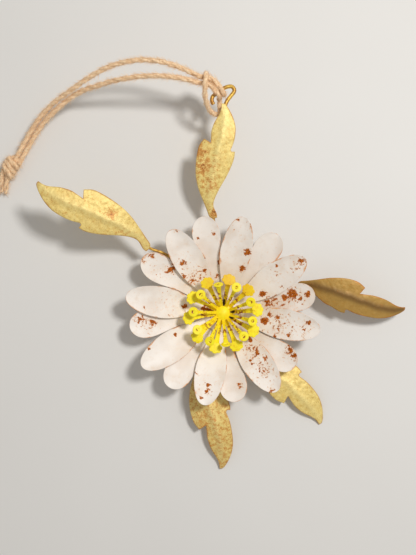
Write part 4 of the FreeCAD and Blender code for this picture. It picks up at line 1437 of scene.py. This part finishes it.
class TINFLOWER_OT_camera(bpy.types.Operator):
    """Sets the camera straight above the flower"""

    bl_idname = "tin_flower.camera"
    bl_label = "Set Camera"
    bl_options = {"REGISTER", "UNDO"}

    def execute(self, context):
        build_camera()
        return {"FINISHED"}


class TINFLOWER_OT_twine(bpy.types.Operator):
    """Builds both strands of the loop, the hitch, the knot and its tails"""

    bl_idname = "tin_flower.twine"
    bl_label = "Build Twine"
    bl_options = {"REGISTER", "UNDO"}

    def execute(self, context):
        build_twine()
        return {"FINISHED"}


class TINFLOWER_OT_petals(bpy.types.Operator):
    """Builds both layers of petals"""

    bl_idname = "tin_flower.petals"
    bl_label = "Build Petals"
    bl_options = {"REGISTER", "UNDO"}

    def execute(self, context):
        build_petals()
        return {"FINISHED"}


class TINFLOWER_OT_stamens(bpy.types.Operator):
    """Builds both rings of stamens"""

    bl_idname = "tin_flower.stamens"
    bl_label = "Build Stamens"
    bl_options = {"REGISTER", "UNDO"}

    def execute(self, context):
        build_stamens()
        return {"FINISHED"}


class TINFLOWER_OT_leaves(bpy.types.Operator):
    """Builds the five leaves"""

    bl_idname = "tin_flower.leaves"
    bl_label = "Build Leaves"
    bl_options = {"REGISTER", "UNDO"}

    def execute(self, context):
        build_leaves()
        return {"FINISHED"}


class TINFLOWER_OT_metalwork(bpy.types.Operator):
    """Gives the frame's own pieces their materials"""

    bl_idname = "tin_flower.metalwork"
    bl_label = "Dress Metalwork"
    bl_options = {"REGISTER", "UNDO"}

    def execute(self, context):
        build_metalwork()
        return {"FINISHED"}


class TINFLOWER_OT_stage(bpy.types.Operator):
    """Builds the floor, the lamp and the sky"""

    bl_idname = "tin_flower.stage"
    bl_label = "Build Stage"
    bl_options = {"REGISTER", "UNDO"}

    def execute(self, context):
        build_stage()
        return {"FINISHED"}


OPERATORS = [
    TINFLOWER_OT_camera,
    TINFLOWER_OT_twine,
    TINFLOWER_OT_petals,
    TINFLOWER_OT_stamens,
    TINFLOWER_OT_leaves,
    TINFLOWER_OT_metalwork,
    TINFLOWER_OT_stage,
]


class TINFLOWER_PT_panel(bpy.types.Panel):
    """The settings and a button for each group of pieces."""

    bl_idname = "TINFLOWER_PT_panel"
    bl_label = "Tin Flower"
    bl_space_type = "VIEW_3D"
    bl_region_type = "UI"
    bl_category = "Tin Flower"

    def draw(self, context):
        for name in TinFlowerSettings.__annotations__:
            self.layout.prop(context.scene.tin_flower, name)
        for kind in OPERATORS:
            self.layout.operator(kind.bl_idname)


CLASSES = [TinFlowerSettings, *OPERATORS, TINFLOWER_PT_panel]


def register():
    """Adds the classes and the scene's settings."""
    for kind in CLASSES:
        bpy.utils.register_class(kind)
    bpy.types.Scene.tin_flower = bpy.props.PointerProperty(type=TinFlowerSettings)


def unregister():
    """Takes them away again."""
    del bpy.types.Scene.tin_flower
    for kind in reversed(CLASSES):
        bpy.utils.unregister_class(kind)


def main():
    """Registers the add-on and runs each step."""
    register()
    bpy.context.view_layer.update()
    bpy.ops.tin_flower.camera()
    bpy.ops.tin_flower.twine()
    bpy.ops.tin_flower.petals()
    bpy.ops.tin_flower.stamens()
    bpy.ops.tin_flower.leaves()
    bpy.ops.tin_flower.metalwork()
    bpy.ops.tin_flower.stage()


if __name__ == "__main__":
    main()
